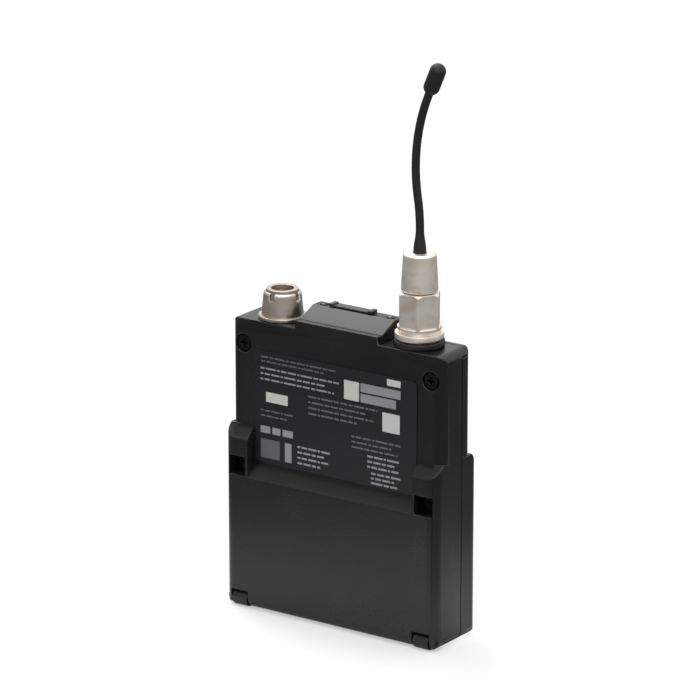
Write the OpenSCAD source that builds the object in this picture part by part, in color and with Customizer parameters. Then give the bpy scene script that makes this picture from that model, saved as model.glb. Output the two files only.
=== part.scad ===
// Wireless bodypack transmitter.
// Millimetres. X runs along the label face, Y from the label face to the display face, Z is up.

/* [Housing] */
// Depth of the upper half
upper_d = 11.3; // [11.3:0.1:11.8]
// How far the lower half stands proud of the label face
rear_step = 2.9; // [2.6:0.1:3]
// Height where the shoulders start to slope in
shoulder_z = 39.8; // [39.4:0.1:40.4]
// Height of the sloping shoulders
shoulder_rise = 2.6; // [2.2:0.1:2.8]
// Distance from the rear face to the side seam
seam_depth = 10.2; // [10:0.1:10.4]
// Radius of the upright edges
edge_r = 2.6; // [1.6:0.1:2.8]
// Radius of the bottom edges
bottom_r = 2.5; // [1.8:0.1:2.6]
// Radius of the two upper corners
top_r = 2.2; // [1:0.1:2.4]
// Thickness of the rear wall and of the lid
wall = 1; // [0.9:0.05:1.1]
// Thickness of the side walls
side_wall = 1.2; // [1.1:0.05:1.3]
// Thickness of the display wall
front_wall = 1.2; // [1.1:0.05:1.3]
// Thickness of the top wall
top_wall = 1.6; // [1.4:0.1:1.8]
// Thickness of the shelf over the cells
shelf_t = 1.3; // [1.2:0.1:1.5]
// Width of each ear beside the label pocket
ear_w = 6.4; // [6.2:0.1:6.6]
// Height of the ledge edge over the battery bay
ledge_over_bay = 0.8; // [0.6:0.1:1.2]
// Gap at every seam
seam_gap = 0.12; // [0.1:0.01:0.2]

/* [Cells] */
// Diameter of an AA cell
cell_d = 14; // [13.8:0.1:14.2]
// Length of an AA cell with its nub
cell_len = 50.5; // [49.8:0.1:50.8]
// Diameter of the nub
nub_d = 5.5; // [5:0.1:5.6]
// Height of the nub
nub_h = 1; // [0.9:0.1:1.2]
// Radius of the cell rims
cell_rim_r = 0.6; // [0.4:0.1:0.8]
// Play around each cell
cell_play = 0.4; // [0.3:0.05:0.5]
// Thickness of the contact plates
plate_t = 0.4; // [0.3:0.05:0.5]
// Width of the contact plates
plate_w = 5.8; // [5.4:0.1:6]
// Height of a contact plate
plate_h = 12; // [10:0.5:12.5]
// Gap beside the contact plates
plate_gap = 0.4; // [0.3:0.05:0.5]
// Width of the contact tabs
tab_w = 0.9; // [0.8:0.05:0.95]
// Mean radius of the contact springs
coil_r = 3.4; // [3:0.1:3.6]
// Radius of the contact spring wire
coil_wire_r = 0.35; // [0.3:0.05:0.4]
// Length of a compressed contact spring
coil_len = 3.05; // [2.8:0.05:3.4]
// Turns of a contact spring
coil_turns = 3.5; // [2.5:0.5:3.5]

/* [Battery lid] */
// Radius of the hinge lugs
lug_r = 1.85; // [1.7:0.05:1.9]
// Length of the hinge lugs
lug_len = 4; // [3.4:0.1:4.2]
// Distance from the side face to the middle of a lug
lug_inset = 4; // [3.9:0.05:4.1]
// Radius of the hinge pins
hinge_pin_r = 0.75; // [0.6:0.05:0.8]
// Running clearance of the lugs on the pins
hinge_play = 0.05; // [0.03:0.01:0.08]
// Gap beside each lug
lug_gap = 0.25; // [0.2:0.05:0.3]
// Depth of the pin holes in each cheek
cheek_t = 1.5; // [1.2:0.1:1.6]
// Distance from the hinge axis to the front of the case lip
lip_reach = 2; // [1.8:0.1:2.1]
// Height of the case lip over the ground
lip_z = 0.5; // [0.4:0.05:0.6]
// Gap between the case lip and the lid floor
lip_gap = 0.5; // [0.5:0.05:0.7]
// Depth of the solid rim at the top of the lid
lid_rim_h = 3.2; // [2.8:0.1:3.4]
// Gap between the lid rim and the skirt of the case
rim_gap = 0.4; // [0.3:0.05:0.5]
// Thickness of the foam pad
pad_t = 0.3; // [0.2:0.05:0.35]
// Length of the foam pad
pad_w = 40; // [30:1:44]
// Height of the foam pad
pad_h = 22; // [16:1:24]

/* [Lid catches] */
// Distance from the side face to the middle of a catch
catch_inset = 12.5; // [11.5:0.5:14]
// Width of the thumb pad
thumb_w = 9; // [8:0.5:9.5]
// Height of the thumb pad
thumb_h = 5.5; // [5:0.25:6]
// Width of the slider behind the lid wall
slider_w = 11.6; // [11.2:0.2:12]
// Thickness of the slider
slider_t = 1.1; // [1:0.05:1.2]
// Width of the tongue
tongue_w = 4.8; // [4:0.2:5]
// Thickness of the tongue
tongue_t = 1; // [0.9:0.05:1.1]
// Travel of a catch
catch_travel = 2; // [1.5:0.1:2]
// Clearance around a catch
catch_play = 0.25; // [0.2:0.05:0.3]
// Width of the guide ribs
rib_w = 0.9; // [0.8:0.1:1]
// Number of grip grooves on a thumb pad
grip_count = 3; // [2:1:4]
// Size of the grip grooves
grip_size = 0.5; // [0.4:0.05:0.6]
// Radius of the catch springs
catch_coil_r = 1; // [0.9:0.05:1.1]
// Radius of the catch spring wire
catch_wire_r = 0.18; // [0.15:0.01:0.2]
// Turns of a catch spring
catch_turns = 5; // [4:0.5:6]
// Length of a catch spring at rest
catch_spring_len = 5; // [4.5:0.25:5.5]

/* [Switch housing] */
// Gap from the audio socket axis to the housing
hump_audio_gap = 7.2; // [6.8:0.1:7.6]
// Gap from the antenna axis to the housing
hump_antenna_gap = 7.2; // [6.9:0.1:7.6]
// Height of the flat ridge over the platform
ridge_h = 3.9; // [3.6:0.1:4.2]
// Height of the rear edge of the sloping face
slope_foot_h = 1.6; // [1.4:0.1:1.8]
// Depth of the flat ridge
ridge_d = 3.2; // [3:0.1:3.3]
// Chamfer at the front of the ridge
ridge_chamfer = 1; // [0.8:0.1:1.1]
// Wall of the switch housing
hump_wall = 1; // [0.9:0.05:1.1]
// Height of the case tongue in front of the housing
case_tongue_h = 1.8; // [1.4:0.1:2]
// Thickness of the case tongue
case_tongue_t = 1.6; // [1.4:0.1:1.7]
// Gap between the power switch knob and each lens at the ends of its travel
knob_gap = 1; // [0.8:0.05:1.4]
// Width of the power switch knob
knob_w = 2.4; // [2:0.1:2.5]
// Thickness of the knob between its ridges
knob_t = 0.4; // [0.35:0.05:0.5]
// Height of the knob ridges
knob_ridge_h = 0.3; // [0.25:0.05:0.4]
// Width of the knob ridges
knob_ridge_w = 1.2; // [1:0.1:1.4]
// Length of the switch stem
stem_len = 3; // [2.6:0.1:3.2]
// Width of the switch stem
stem_w = 1.4; // [1.2:0.1:1.5]
// Gap between the slide switch body and the roof over it
switch_headroom = 0.7; // [0.6:0.05:0.8]
// Travel of the power switch
knob_travel = 2.5; // [2:0.1:2.8]
// Clearance around the switch stem
stem_play = 0.25; // [0.2:0.05:0.3]
// Radius of the indicator lenses
lens_r = 0.9; // [0.7:0.05:1]
// Distance of each lens from the end of the housing
lens_inset = 2.2; // [2.1:0.05:2.4]

/* [Display face] */
// Width of the display window
window_w = 32; // [28:0.5:33]
// Height of the display window
window_h = 12.4; // [11:0.2:12.8]
// Thickness of the display window
window_t = 0.85; // [0.75:0.05:0.9]
// Rim that carries the window
window_rim = 1.2; // [1:0.1:1.4]
// Distance from the keys to the middle of the display
display_rise = 10; // [9.8:0.1:10.6]
// Distance from the platform to the middle of the display
display_drop = 10; // [9.8:0.05:10.2]
// Thickness of the display panel
panel_t = 1.7; // [1.5:0.05:1.75]
// Width of the ribbon
ribbon_w = 10; // [8:0.5:12]
// Thickness of the ribbon
ribbon_t = 0.2; // [0.15:0.05:0.25]
// Distance between the keys
key_pitch = 13; // [12:0.25:14]
// Length of a key
key_len = 8; // [7:0.25:8.5]
// Height of a key
key_h = 4.4; // [4:0.1:4.6]
// How far a key stands out
key_proud = 0.6; // [0.5:0.05:0.8]
// Width of the flange behind a key
key_flange = 0.7; // [0.6:0.05:0.8]
// Thickness of the flange behind a key
key_flange_t = 0.7; // [0.6:0.05:0.8]
// Clearance around a key
key_play = 0.25; // [0.2:0.05:0.3]
// Travel of a key
key_travel = 0.5; // [0.4:0.05:0.5]
// Height of the keys over the lower edge of the front case
key_rise = 4.4; // [4.2:0.1:4.8]

/* [Electronics] */
// Distance from the label face to the front of the board
board_depth = 5.5; // [5.4:0.05:5.6]
// Thickness of the board
board_t = 1; // [0.8:0.1:1.2]
// Gap between the board and the walls
board_gap = 0.6; // [0.5:0.05:0.8]
// Gap between the neck of the board and the connectors
neck_gap = 1.1; // [0.8:0.1:1.6]
// Distance from the platform to the shoulders of the board
board_drop = 9; // [8.8:0.1:9.4]
// Width of the shield can
shield_w = 24; // [20:0.5:26]
// Length of the shield can
shield_h = 16; // [12:0.5:18]
// Depth of the shield can
shield_d = 2.4; // [2:0.1:2.6]
// Thickness of the shield can
shield_t = 0.3; // [0.2:0.05:0.4]
// Side of a key switch
key_switch_w = 4.6; // [4:0.1:5]
// Depth of a key switch
key_switch_d = 1.6; // [1.4:0.05:1.7]
// Radius of a key switch plunger
plunger_r = 1; // [0.8:0.1:1.2]
// Length of a key switch plunger
plunger_h = 0.6; // [0.5:0.05:0.65]
// Gap between the slide switch body and each lens
switch_gap = 1.25; // [1:0.05:1.6]
// Depth of the slide switch body
switch_d = 3.6; // [3.4:0.05:3.65]

/* [Case screws] */
// Distance from the side face to a screw axis
screw_inset = 3.5; // [3.4:0.05:3.6]
// Distance from the platform to the upper screws
screw_drop = 5.8; // [5.6:0.1:6]
// Height of the lower screws over the shelf
screw_rise = 1.9; // [1.85:0.05:2.2]
// Radius of the screw shank
screw_r = 1; // [0.8:0.05:1.1]
// Radius of the screw head
head_r = 1.8; // [1.6:0.05:1.9]
// Height of the screw head
head_h = 1.2; // [1:0.05:1.3]
// Length under the head
screw_len = 6.4; // [6:0.1:6.5]
// Depth of the head seat under the label face
seat_depth = 1.5; // [1.4:0.05:1.6]
// Radius of the bosses on the label side
seat_boss_r = 3.3; // [3.1:0.05:3.4]
// Clearance around the screw head
head_play = 0.3; // [0.2:0.05:0.35]
// Side of the square recess around a lower screw
recess_w = 4.4; // [4.3:0.05:4.6]
// Radius of the bosses on the display side
boss_r = 1.8; // [1.7:0.05:1.85]
// Width of the cross slot
cross_w = 0.5; // [0.4:0.05:0.6]
// Length of the cross slot
cross_len = 2; // [1.6:0.1:2.2]
// Depth of the cross slot
cross_depth = 0.7; // [0.5:0.05:0.8]

/* [Label] */
// Margin between the label and the pocket
label_margin = 0.5; // [0.4:0.1:1]
// Height of the label
label_h = 26; // [24:0.5:27]
// Thickness of the label
label_t = 0.2; // [0.1:0.05:0.3]

/* [Audio socket] */
// Distance from the side face to the connector axes
connector_inset = 10.2; // [10:0.1:10.4]
// Radius of the socket mouth
mouth_r = 2.55; // [2.5:0.01:2.6]
// Length of the socket mouth
mouth_len = 3.6; // [3.4:0.1:3.8]
// Radius of the socket shell
shell_r = 3.6; // [3.4:0.05:3.7]
// Height of the socket shell over the platform
shell_h = 6.8; // [6.6:0.1:7.2]
// Radius of the shell flange under the top wall
flange_r = 4.2; // [4:0.05:4.3]
// Thickness of the shell flange
flange_t = 1.5; // [1.3:0.1:1.6]
// Radius of the ring nut over its foot
ring_r = 4.7; // [4.6:0.05:4.8]
// Radius of the ring nut below its top chamfer
ring_top_r = 4.2; // [4.15:0.05:4.3]
// Height of the ring nut
ring_h = 6.2; // [5.8:0.1:6.4]
// Radius of the foot of the ring nut
ring_foot_r = 5.4; // [5.2:0.05:5.5]
// Height of the foot of the ring nut
ring_foot_h = 0.8; // [0.7:0.05:1]
// Number of spanner slots
ring_slots = 4; // [2:1:6]
// Width of the spanner slots
ring_slot_w = 1.2; // [1:0.1:1.4]
// Depth of the spanner slots
ring_slot_h = 1.6; // [1.2:0.1:2]
// Radius of the insert
insert_r = 2.25; // [2.2:0.01:2.3]
// Number of contacts
contact_count = 3; // [2:1:4]
// Radius of the contacts
contact_r = 0.4; // [0.35:0.01:0.45]
// Radius of the circle of contacts
contact_circle_r = 1.2; // [1.1:0.05:1.3]
// Radius of the hole in a contact
contact_hole_r = 0.25; // [0.2:0.01:0.28]
// Depth of the hole in a contact
contact_hole_h = 3.6; // [3:0.1:4]

/* [Antenna jack] */
// Radius of the jack barrel
jack_r = 3.1; // [3:0.05:3.15]
// Length of the barrel inside the coupling nut
jack_reach = 6; // [5.6:0.1:6.2]
// Radius of the jack insulator
insulator_r = 2.05; // [1.9:0.05:2.1]
// Depth of the insulator below the rim of the jack
jack_recess = 2; // [1.8:0.1:2.2]
// Radius of the centre contact
centre_r = 0.65; // [0.6:0.01:0.7]
// Radius of the antenna pin
antenna_pin_r = 0.45; // [0.4:0.01:0.46]
// Width across the flats of the jack nut
jack_nut_af = 7.6; // [7.4:0.1:7.8]
// Height of the jack nut
jack_nut_h = 1.2; // [1.1:0.05:1.25]
// Radius of the antenna collar
collar_r = 5.6; // [5.5:0.05:5.8]
// Height of the antenna collar
collar_h = 1.4; // [1.35:0.05:1.6]
// Radius of the hole in the collar
collar_hole_r = 4.7; // [4.6:0.05:4.8]

/* [Antenna] */
// Radius of the coupling nut
nut_r = 4.85; // [4.7:0.05:5]
// Height of the coupling nut
nut_h = 10.6; // [10.2:0.1:11]
// Radius of the flange of the coupling nut
nut_flange_r = 5.4; // [5.2:0.05:5.6]
// Height of the flange of the coupling nut
nut_flange_h = 1.6; // [1.4:0.1:1.8]
// Depth of the groove over the flange
groove_depth = 0.5; // [0.3:0.05:0.6]
// Height of the groove over the flange
groove_h = 0.7; // [0.5:0.05:0.9]
// Width across the six wrench flats
flats_w = 8.6; // [8.4:0.1:8.9]
// Height of the wrench flats
flats_h = 7.6; // [6.4:0.2:7.8]
// Thread clearance on the jack
thread_play = 0.1; // [0.08:0.01:0.12]
// Radius of the neck inside the coupling nut
neck_r = 2.6; // [2.5:0.02:2.66]
// Running clearance of the coupling nut on the neck
neck_play = 0.06; // [0.04:0.01:0.08]
// Radius of the neck flange
neck_flange_r = 3; // [2.95:0.01:3.02]
// Thickness of the neck flange
neck_flange_t = 0.8; // [0.7:0.05:1]
// Radius at the foot of the ferrule
ferrule_r = 4.1; // [4:0.05:4.3]
// Radius at the top of the ferrule
ferrule_top_r = 3.65; // [3.5:0.05:3.8]
// Height of the ferrule
ferrule_h = 8.6; // [8.2:0.1:9]
// Chamfer at the ends of the ferrule and of the nut
rim_chamfer = 0.4; // [0.3:0.05:0.5]
// Radius at the foot of the whip
whip_foot_r = 1.45; // [1.3:0.05:1.6]
// Radius of the whip
whip_r = 0.9; // [0.8:0.05:1]
// Length of the tapering foot of the whip
whip_foot_len = 5.2; // [4.6:0.2:6]
// Depth of the whip inside the ferrule
whip_socket = 3; // [2.5:0.1:3.4]
// Radius of the lower bend
bend_low_r = 42; // [38:1:50]
// Angle of the lower bend
bend_low_a = 9.5; // [6:0.5:10]
// Radius of the upper bend
bend_high_r = 42; // [38:1:46]
// Angle of the upper bend
bend_high_a = 32.5; // [26:0.5:33]
// Radius of the tip
tip_r = 1.8; // [1.6:0.05:1.9]
// Length of the tip
tip_len = 7.5; // [7:0.1:8]
// Length of the whip inside the tip
tip_grip = 4; // [3:0.1:4.5]

/* [Hidden] */
$fn = 64;
over = 1;
fit = 0.05;
face_gap = 0.1;
coil_steps = 14;
coil_sides = 8;
plate_x = (cell_len + coil_len + 3 * fit) / 2;
inner_x = plate_x + plate_t + fit;
half_w = inner_x + side_wall;
body_w = 2 * half_w;
far = body_w;
pocket_x = half_w - ear_w;
lower_d = cell_d + 2 * (wall + cell_play);

lower_y0 = -lower_d / 2;
lower_y1 = lower_d / 2;
upper_y0 = lower_y0 + rear_step;
upper_y1 = upper_y0 + upper_d;
upper_mid = (upper_y0 + upper_y1) / 2;
rear_inner = upper_y0 + wall;
front_inner = upper_y1 - front_wall;
seam_y = lower_y0 + seam_depth;
rear_edge = seam_y - seam_gap / 2;
front_edge = seam_y + seam_gap / 2;

shoulder_top = shoulder_z + shoulder_rise;
front_z0 = shoulder_top + seam_gap;
key_z = front_z0 + key_rise;
display_z = key_z + display_rise;
platform_z = display_z + display_drop;
top_z0 = platform_z - top_wall;

cell_r = cell_d / 2;
cell_low_z = wall + cell_play + cell_r;
cell_high_z = cell_low_z + cell_d + cell_play;
bay_top = cell_high_z + cell_r + cell_play;
shelf_top = bay_top + shelf_t;
ledge_z = bay_top + ledge_over_bay;
cell_x1 = plate_x - fit;
cell_x0 = cell_x1 - cell_len;
plate_y1 = rear_edge - plate_gap;
plate_y0 = plate_y1 - plate_w;
high_plate_y1 = plate_y1 - tab_w - plate_gap;

skirt_y1 = front_edge + front_wall;
skirt_x = inner_x - catch_play;
rim_y0 = skirt_y1 + rim_gap;

hinge_y = lower_y0 + lug_r;
hinge_z = lug_r;
lug_x = half_w - lug_inset;
lip_y1 = hinge_y + lip_reach;
lid_y0 = lip_y1 + lip_gap;
notch_half = lug_len / 2 + lug_gap;
cheek_r = lug_r - 2 * lug_gap;
lip_top = lip_z + wall;

catch_x = half_w - catch_inset;
slider_y1 = lower_y1 - wall - fit;
slider_y0 = slider_y1 - slider_t;
tongue_y0 = rim_y0 + catch_play;
tongue_y1 = tongue_y0 + tongue_t;
rim_z0 = shoulder_top - lid_rim_h;
tongue_top = shoulder_top - catch_play;
slider_z1 = rim_z0 - catch_play;
thumb_z1 = slider_z1 - catch_play - fit;
thumb_z0 = thumb_z1 - thumb_h;
slider_z0 = thumb_z0 - catch_travel - catch_play;
spring_z0 = slider_z0 - catch_spring_len + thumb_h / 2;

connector_x = half_w - connector_inset;
hump_x0 = hump_audio_gap - connector_x;
hump_x1 = connector_x - hump_antenna_gap;
hump_y0 = upper_y0 + case_tongue_t + 2 * seam_gap;
hump_y1 = upper_y1 - catch_play;
ridge_z = platform_z + ridge_h;
ridge_y1 = hump_y1 - ridge_chamfer;
ridge_y0 = ridge_y1 - ridge_d;
ridge_mid = (ridge_y0 + ridge_y1) / 2;
lens_x0 = hump_x0 + lens_inset;
lens_x1 = hump_x1 - lens_inset;
knob_len = lens_x1 - lens_x0 - 2 * (lens_r + knob_gap) - knob_travel;
knob_x = (hump_x0 + hump_x1) / 2 - knob_travel / 2;
switch_w = lens_x1 - lens_x0 - 2 * (lens_r + stem_play + switch_gap);
switch_z1 = ridge_z - hump_wall - switch_headroom;

board_y1 = upper_y0 + board_depth;
board_y0 = board_y1 - board_t;
board_x = inner_x - board_gap;
neck_x = connector_x - flange_r - neck_gap;
board_z0 = shelf_top + board_gap;
board_z1 = platform_z - board_drop;
board_top_z = top_z0 - board_gap;
switch_y0 = board_y1 + fit;
switch_y1 = switch_y0 + switch_d;

panel_w = window_w - window_rim;
panel_h = window_h - window_rim;
panel_y1 = front_inner - fit;
panel_y0 = panel_y1 - panel_t;
key_back = front_inner - fit - key_flange_t;
plunger_top = board_y1 + fit + key_switch_d + plunger_h;
ribbon_r = (panel_y0 + panel_t / 2 - board_y1 - fit) / 2;

screw_x = half_w - screw_inset;
screw_high_z = platform_z - screw_drop;
screw_low_z = shelf_top + screw_rise;
tab_top = board_z0 + board_gap;
seat_y = upper_y0 + seat_depth;
screw_end = seat_y + screw_len;

label_z0 = ledge_z + rear_step + label_margin;
label_x = pocket_x - label_margin;

shell_top = platform_z + shell_h;
insert_top = shell_top - mouth_len;
insert_z0 = top_z0 - flange_t - fit;
tail_z = board_z1 + face_gap;

nut_z0 = platform_z + collar_h + face_gap;
nut_z1 = nut_z0 + nut_h;
jack_top = nut_z0 + jack_reach;
neck_z0 = jack_top + face_gap;
neck_z1 = neck_z0 + neck_flange_t;
nut_bore_r = jack_r + thread_play;
ferrule_z0 = nut_z1 + face_gap;
ferrule_z1 = ferrule_z0 + ferrule_h;
pin_z0 = platform_z + collar_h;
pin_z1 = ferrule_z0;
whip_z = ferrule_z1 - whip_socket;

// Box between two corners
module box(low, high) {
    translate(low)
        cube(high - low);
}

// Round bar along X, Y or Z
module x_bar(r, x0, x1, y, z) {
    translate([x0, y, z])
        rotate([0, 90, 0])
            cylinder(r = r, h = x1 - x0);
}

module y_bar(r, x, y0, y1, z) {
    translate([x, y0, z])
        rotate([-90, 0, 0])
            cylinder(r = r, h = y1 - y0);
}

module z_bar(r, x, y, z0, z1) {
    translate([x, y, z0])
        cylinder(r = r, h = z1 - z0);
}

// A piece and its mirror image across the middle
module both_sides() {
    children();
    mirror([1, 0, 0])
        children();
}

// Profile in Y and Z drawn along X
module along_x(x0, x1) {
    translate([x0, 0, 0])
        rotate([90, 0, 90])
            linear_extrude(x1 - x0)
                children();
}

// Profile in X and Z drawn along Y through the whole part
module through_y() {
    translate([0, far, 0])
        rotate([90, 0, 0])
            linear_extrude(2 * far)
                children();
}

// Block with rounded upright edges
module upright_block(y0, y1, z0, z1) {
    translate([0, 0, z0])
        linear_extrude(z1 - z0) {
            translate([-half_w, y0 + edge_r])
                square([body_w, y1 - y0 - 2 * edge_r]);
            translate([edge_r - half_w, y0])
                square([body_w - 2 * edge_r, y1 - y0]);
            for (x = [edge_r - half_w, half_w - edge_r], y = [y0 + edge_r, y1 - edge_r])
                translate([x, y])
                    circle(edge_r);
        }
}

module front_profile() {
    translate([-half_w, bottom_r])
        square([body_w, platform_z - bottom_r - top_r]);
    translate([bottom_r - half_w, 0])
        square([body_w - 2 * bottom_r, platform_z - top_r]);
    translate([top_r - half_w, bottom_r])
        square([body_w - 2 * top_r, platform_z - bottom_r]);
    for (side = [-1, 1]) {
        translate([side * (half_w - bottom_r), bottom_r])
            circle(bottom_r);
        translate([side * (half_w - top_r), platform_z - top_r])
            circle(top_r);
    }
}

module side_profile() {
    polygon([[lower_y0, bottom_r], [lower_y1, bottom_r], [lower_y1, shoulder_z],
        [upper_y1, shoulder_top], [upper_y1, platform_z], [upper_y0, platform_z],
        [upper_y0, shoulder_top], [lower_y0, shoulder_z]]);
    translate([lower_y0 + bottom_r, 0])
        square([lower_d - 2 * bottom_r, shoulder_z]);
    for (y = [lower_y0 + bottom_r, lower_y1 - bottom_r])
        translate([y, bottom_r])
            circle(bottom_r);
}

// Outside of the closed housing without the parts on the platform
module envelope() {
    intersection() {
        union() {
            upright_block(lower_y0, lower_y1, 0, shoulder_top);
            upright_block(upper_y0, upper_y1, shoulder_z, platform_z);
        }
        through_y()
            front_profile();
        along_x(-far, far)
            side_profile();
    }
}

// Wire wound along Z from the origin
function coil_point(r, wire_r, pitch, turn, side) =
    [(r + wire_r * cos(side)) * cos(turn), (r + wire_r * cos(side)) * sin(turn),
        pitch * turn / 360 + wire_r * sin(side)];

module coil(r, wire_r, length, turns) {
    rings = turns * coil_steps;
    pitch = (length - 2 * wire_r) / turns;
    points = [for (i = [0:rings], j = [0:coil_sides - 1])
        coil_point(r, wire_r, pitch, 360 * i / coil_steps, 360 * j / coil_sides)];
    walls = [for (i = [0:rings - 1], j = [0:coil_sides - 1])
        [i * coil_sides + j, i * coil_sides + (j + 1) % coil_sides,
            (i + 1) * coil_sides + (j + 1) % coil_sides, (i + 1) * coil_sides + j]];
    first = [[for (j = [0:coil_sides - 1]) coil_sides - 1 - j]];
    last = [[for (j = [0:coil_sides - 1]) rings * coil_sides + j]];
    translate([0, 0, wire_r])
        polyhedron(points, concat(walls, first, last));
}

// Housing

module rear_zone() {
    box([-far, lower_y0 - over, lip_z], [far, rear_edge, platform_z + over]);
    box([-far, upper_y0, top_z0], [far, front_inner - seam_gap, platform_z + over]);
}

module label_pocket() {
    along_x(-pocket_x, pocket_x)
        polygon([[lower_y0 - over, ledge_z - over], [upper_y0, ledge_z + rear_step],
            [upper_y0, shoulder_top + over], [lower_y0 - over, shoulder_top + over]]);
}

module rear_shell() {
    difference() {
        intersection() {
            envelope();
            rear_zone();
        }
        box([-inner_x, lower_y0 + wall, lip_top], [inner_x, seam_y, bay_top]);
        box([-inner_x, rear_inner, shelf_top], [inner_x, front_inner, top_z0]);
        box([-far, lip_y1, 0], [far, seam_y, wall + seam_gap]);
        box([-inner_x, lip_y1, 0], [inner_x, seam_y, lip_top + over]);
        label_pocket();
    }
}

module hinge_cheeks() {
    intersection() {
        envelope();
        union() {
            x_bar(cheek_r, lug_x - notch_half - cheek_t, inner_x + fit, hinge_y, hinge_z);
            box([lug_x - notch_half - cheek_t, lower_y0, lip_z],
                [inner_x + fit, hinge_y, hinge_z + cheek_r]);
        }
    }
}

module rear_bosses() {
    intersection() {
        envelope();
        y_bar(seat_boss_r, screw_x, upper_y0, seat_y + over, screw_high_z);
    }
    y_bar(boss_r, screw_x, upper_y0 + fit, board_y0, screw_high_z);
    box([pocket_x, rear_inner - fit, bay_top + fit],
        [inner_x + fit, board_y0, screw_low_z + recess_w / 2 + wall]);
}

module screw_recesses() {
    y_bar(head_r + head_play, screw_x, upper_y0 - over, seat_y, screw_high_z);
    box([screw_x - recess_w / 2, lower_y0 - over, screw_low_z - recess_w / 2],
        [screw_x + recess_w / 2, seat_y, screw_low_z + recess_w / 2]);
    for (z = [screw_high_z, screw_low_z])
        y_bar(screw_r + head_play, screw_x, seat_y - over, board_y1, z);
}

module hinge_notches() {
    box([lug_x - notch_half, lower_y0 - over, 0],
        [lug_x + notch_half, lip_y1 + fit, hinge_z + lug_r + lug_gap]);
    x_bar(hinge_pin_r, lug_x - notch_half - cheek_t, lug_x + notch_half + cheek_t, hinge_y, hinge_z);
}

module contact_slot() {
    box([plate_x - fit, high_plate_y1 - tab_w - fit, bay_top - over],
        [inner_x, plate_y1 + fit, shelf_top + over]);
}

module rear_case() {
    color([0.09, 0.09, 0.09])
        difference() {
            union() {
                rear_shell();
                both_sides() {
                    rear_bosses();
                    hinge_cheeks();
                }
                box([hump_x0, upper_y0, top_z0 + fit],
                    [hump_x1, upper_y0 + case_tongue_t, platform_z + case_tongue_h]);
            }
            both_sides() {
                screw_recesses();
                hinge_notches();
            }
            contact_slot();
            z_bar(shell_r + fit, -connector_x, upper_mid, top_z0 - over, platform_z + over);
            z_bar(jack_r + fit, connector_x, upper_mid, top_z0 - over, platform_z + over);
            box([knob_x - switch_w / 2 + knob_travel / 2 - fit, switch_y0 - fit, top_z0 - over],
                [knob_x + switch_w / 2 + knob_travel / 2 + fit, switch_y1 + fit, platform_z + over]);
        }
}

// Rounded bar shape of a key, drawn from y0 to y1
module key_shape(x, y0, y1, grow) {
    end = (key_len - key_h) / 2;
    for (side = [-1, 1])
        y_bar(key_h / 2 + grow, x + side * end, y0, y1, key_z);
    box([x - end, y0, key_z - key_h / 2 - grow], [x + end, y1, key_z + key_h / 2 + grow]);
}

module window_box(y0, y1, shrink) {
    box([shrink - window_w / 2, y0, display_z - window_h / 2 + shrink],
        [window_w / 2 - shrink, y1, display_z + window_h / 2 - shrink]);
}

module keeper(x) {
    box([x - tongue_w / 2 - catch_play, rim_y0, front_z0 - over],
        [x + tongue_w / 2 + catch_play, tongue_y1 + catch_play, front_z0 + front_wall + over]);
}

module front_case() {
    color([0.1, 0.1, 0.1])
        difference() {
            union() {
                difference() {
                    intersection() {
                        envelope();
                        union() {
                            box([-far, front_edge, front_z0], [far, upper_y1, top_z0 - seam_gap]);
                            box([-far, front_inner, front_z0], [far, upper_y1, platform_z]);
                        }
                    }
                    box([-inner_x, front_edge - over, front_z0 + front_wall],
                        [inner_x, front_inner, platform_z - over]);
                }
                box([-skirt_x, front_edge, shelf_top], [skirt_x, skirt_y1, front_z0 + front_wall]);
                both_sides() {
                    y_bar(boss_r, screw_x, board_y0 + fit, front_inner + fit, screw_high_z);
                    y_bar(boss_r, screw_x, board_y1 + fit, front_edge + fit, screw_low_z);
                }
            }
            both_sides() {
                for (z = [screw_high_z, screw_low_z])
                    y_bar(screw_r + fit, screw_x, board_y0 - over, screw_end + face_gap, z);
                keeper(catch_x);
            }
            window_box(upper_y1 - window_t - fit, upper_y1 + over, -fit);
            window_box(front_inner - over, upper_y1, window_rim);
            for (i = [-1:1])
                key_shape(i * key_pitch, front_inner - over, upper_y1 + over, key_play);
        }
}

module switch_housing() {
    color([0.12, 0.12, 0.12])
        difference() {
            along_x(hump_x0, hump_x1)
                polygon([[hump_y0, platform_z], [hump_y0, platform_z + slope_foot_h],
                    [ridge_y0, ridge_z], [ridge_y1, ridge_z], [hump_y1, ridge_z - ridge_chamfer],
                    [hump_y1, platform_z]]);
            along_x(hump_x0 + hump_wall, hump_x1 - hump_wall)
                polygon([[hump_y0 + hump_wall, platform_z - over],
                    [hump_y0 + hump_wall, platform_z + slope_foot_h - hump_wall / 2],
                    [ridge_y0, ridge_z - hump_wall], [ridge_y1 - fit, ridge_z - hump_wall],
                    [hump_y1 - hump_wall, ridge_z - ridge_chamfer - hump_wall],
                    [hump_y1 - hump_wall, platform_z - over]]);
            box([knob_x - stem_len / 2 - stem_play, ridge_mid - stem_w / 2 - stem_play,
                    ridge_z - over - hump_wall],
                [knob_x + stem_len / 2 + knob_travel + stem_play, ridge_mid + stem_w / 2 + stem_play,
                    ridge_z + over]);
            for (x = [lens_x0, lens_x1])
                z_bar(lens_r + fit, x, ridge_mid, ridge_z - over - hump_wall, ridge_z + over);
        }
}

module display_window() {
    color([0.05, 0.06, 0.08])
        window_box(upper_y1 - window_t, upper_y1, 0);
}

module display_panel() {
    color([0.1, 0.14, 0.16])
        box([-panel_w / 2, panel_y0, display_z - panel_h / 2],
            [panel_w / 2, panel_y1, display_z + panel_h / 2]);
}

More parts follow.
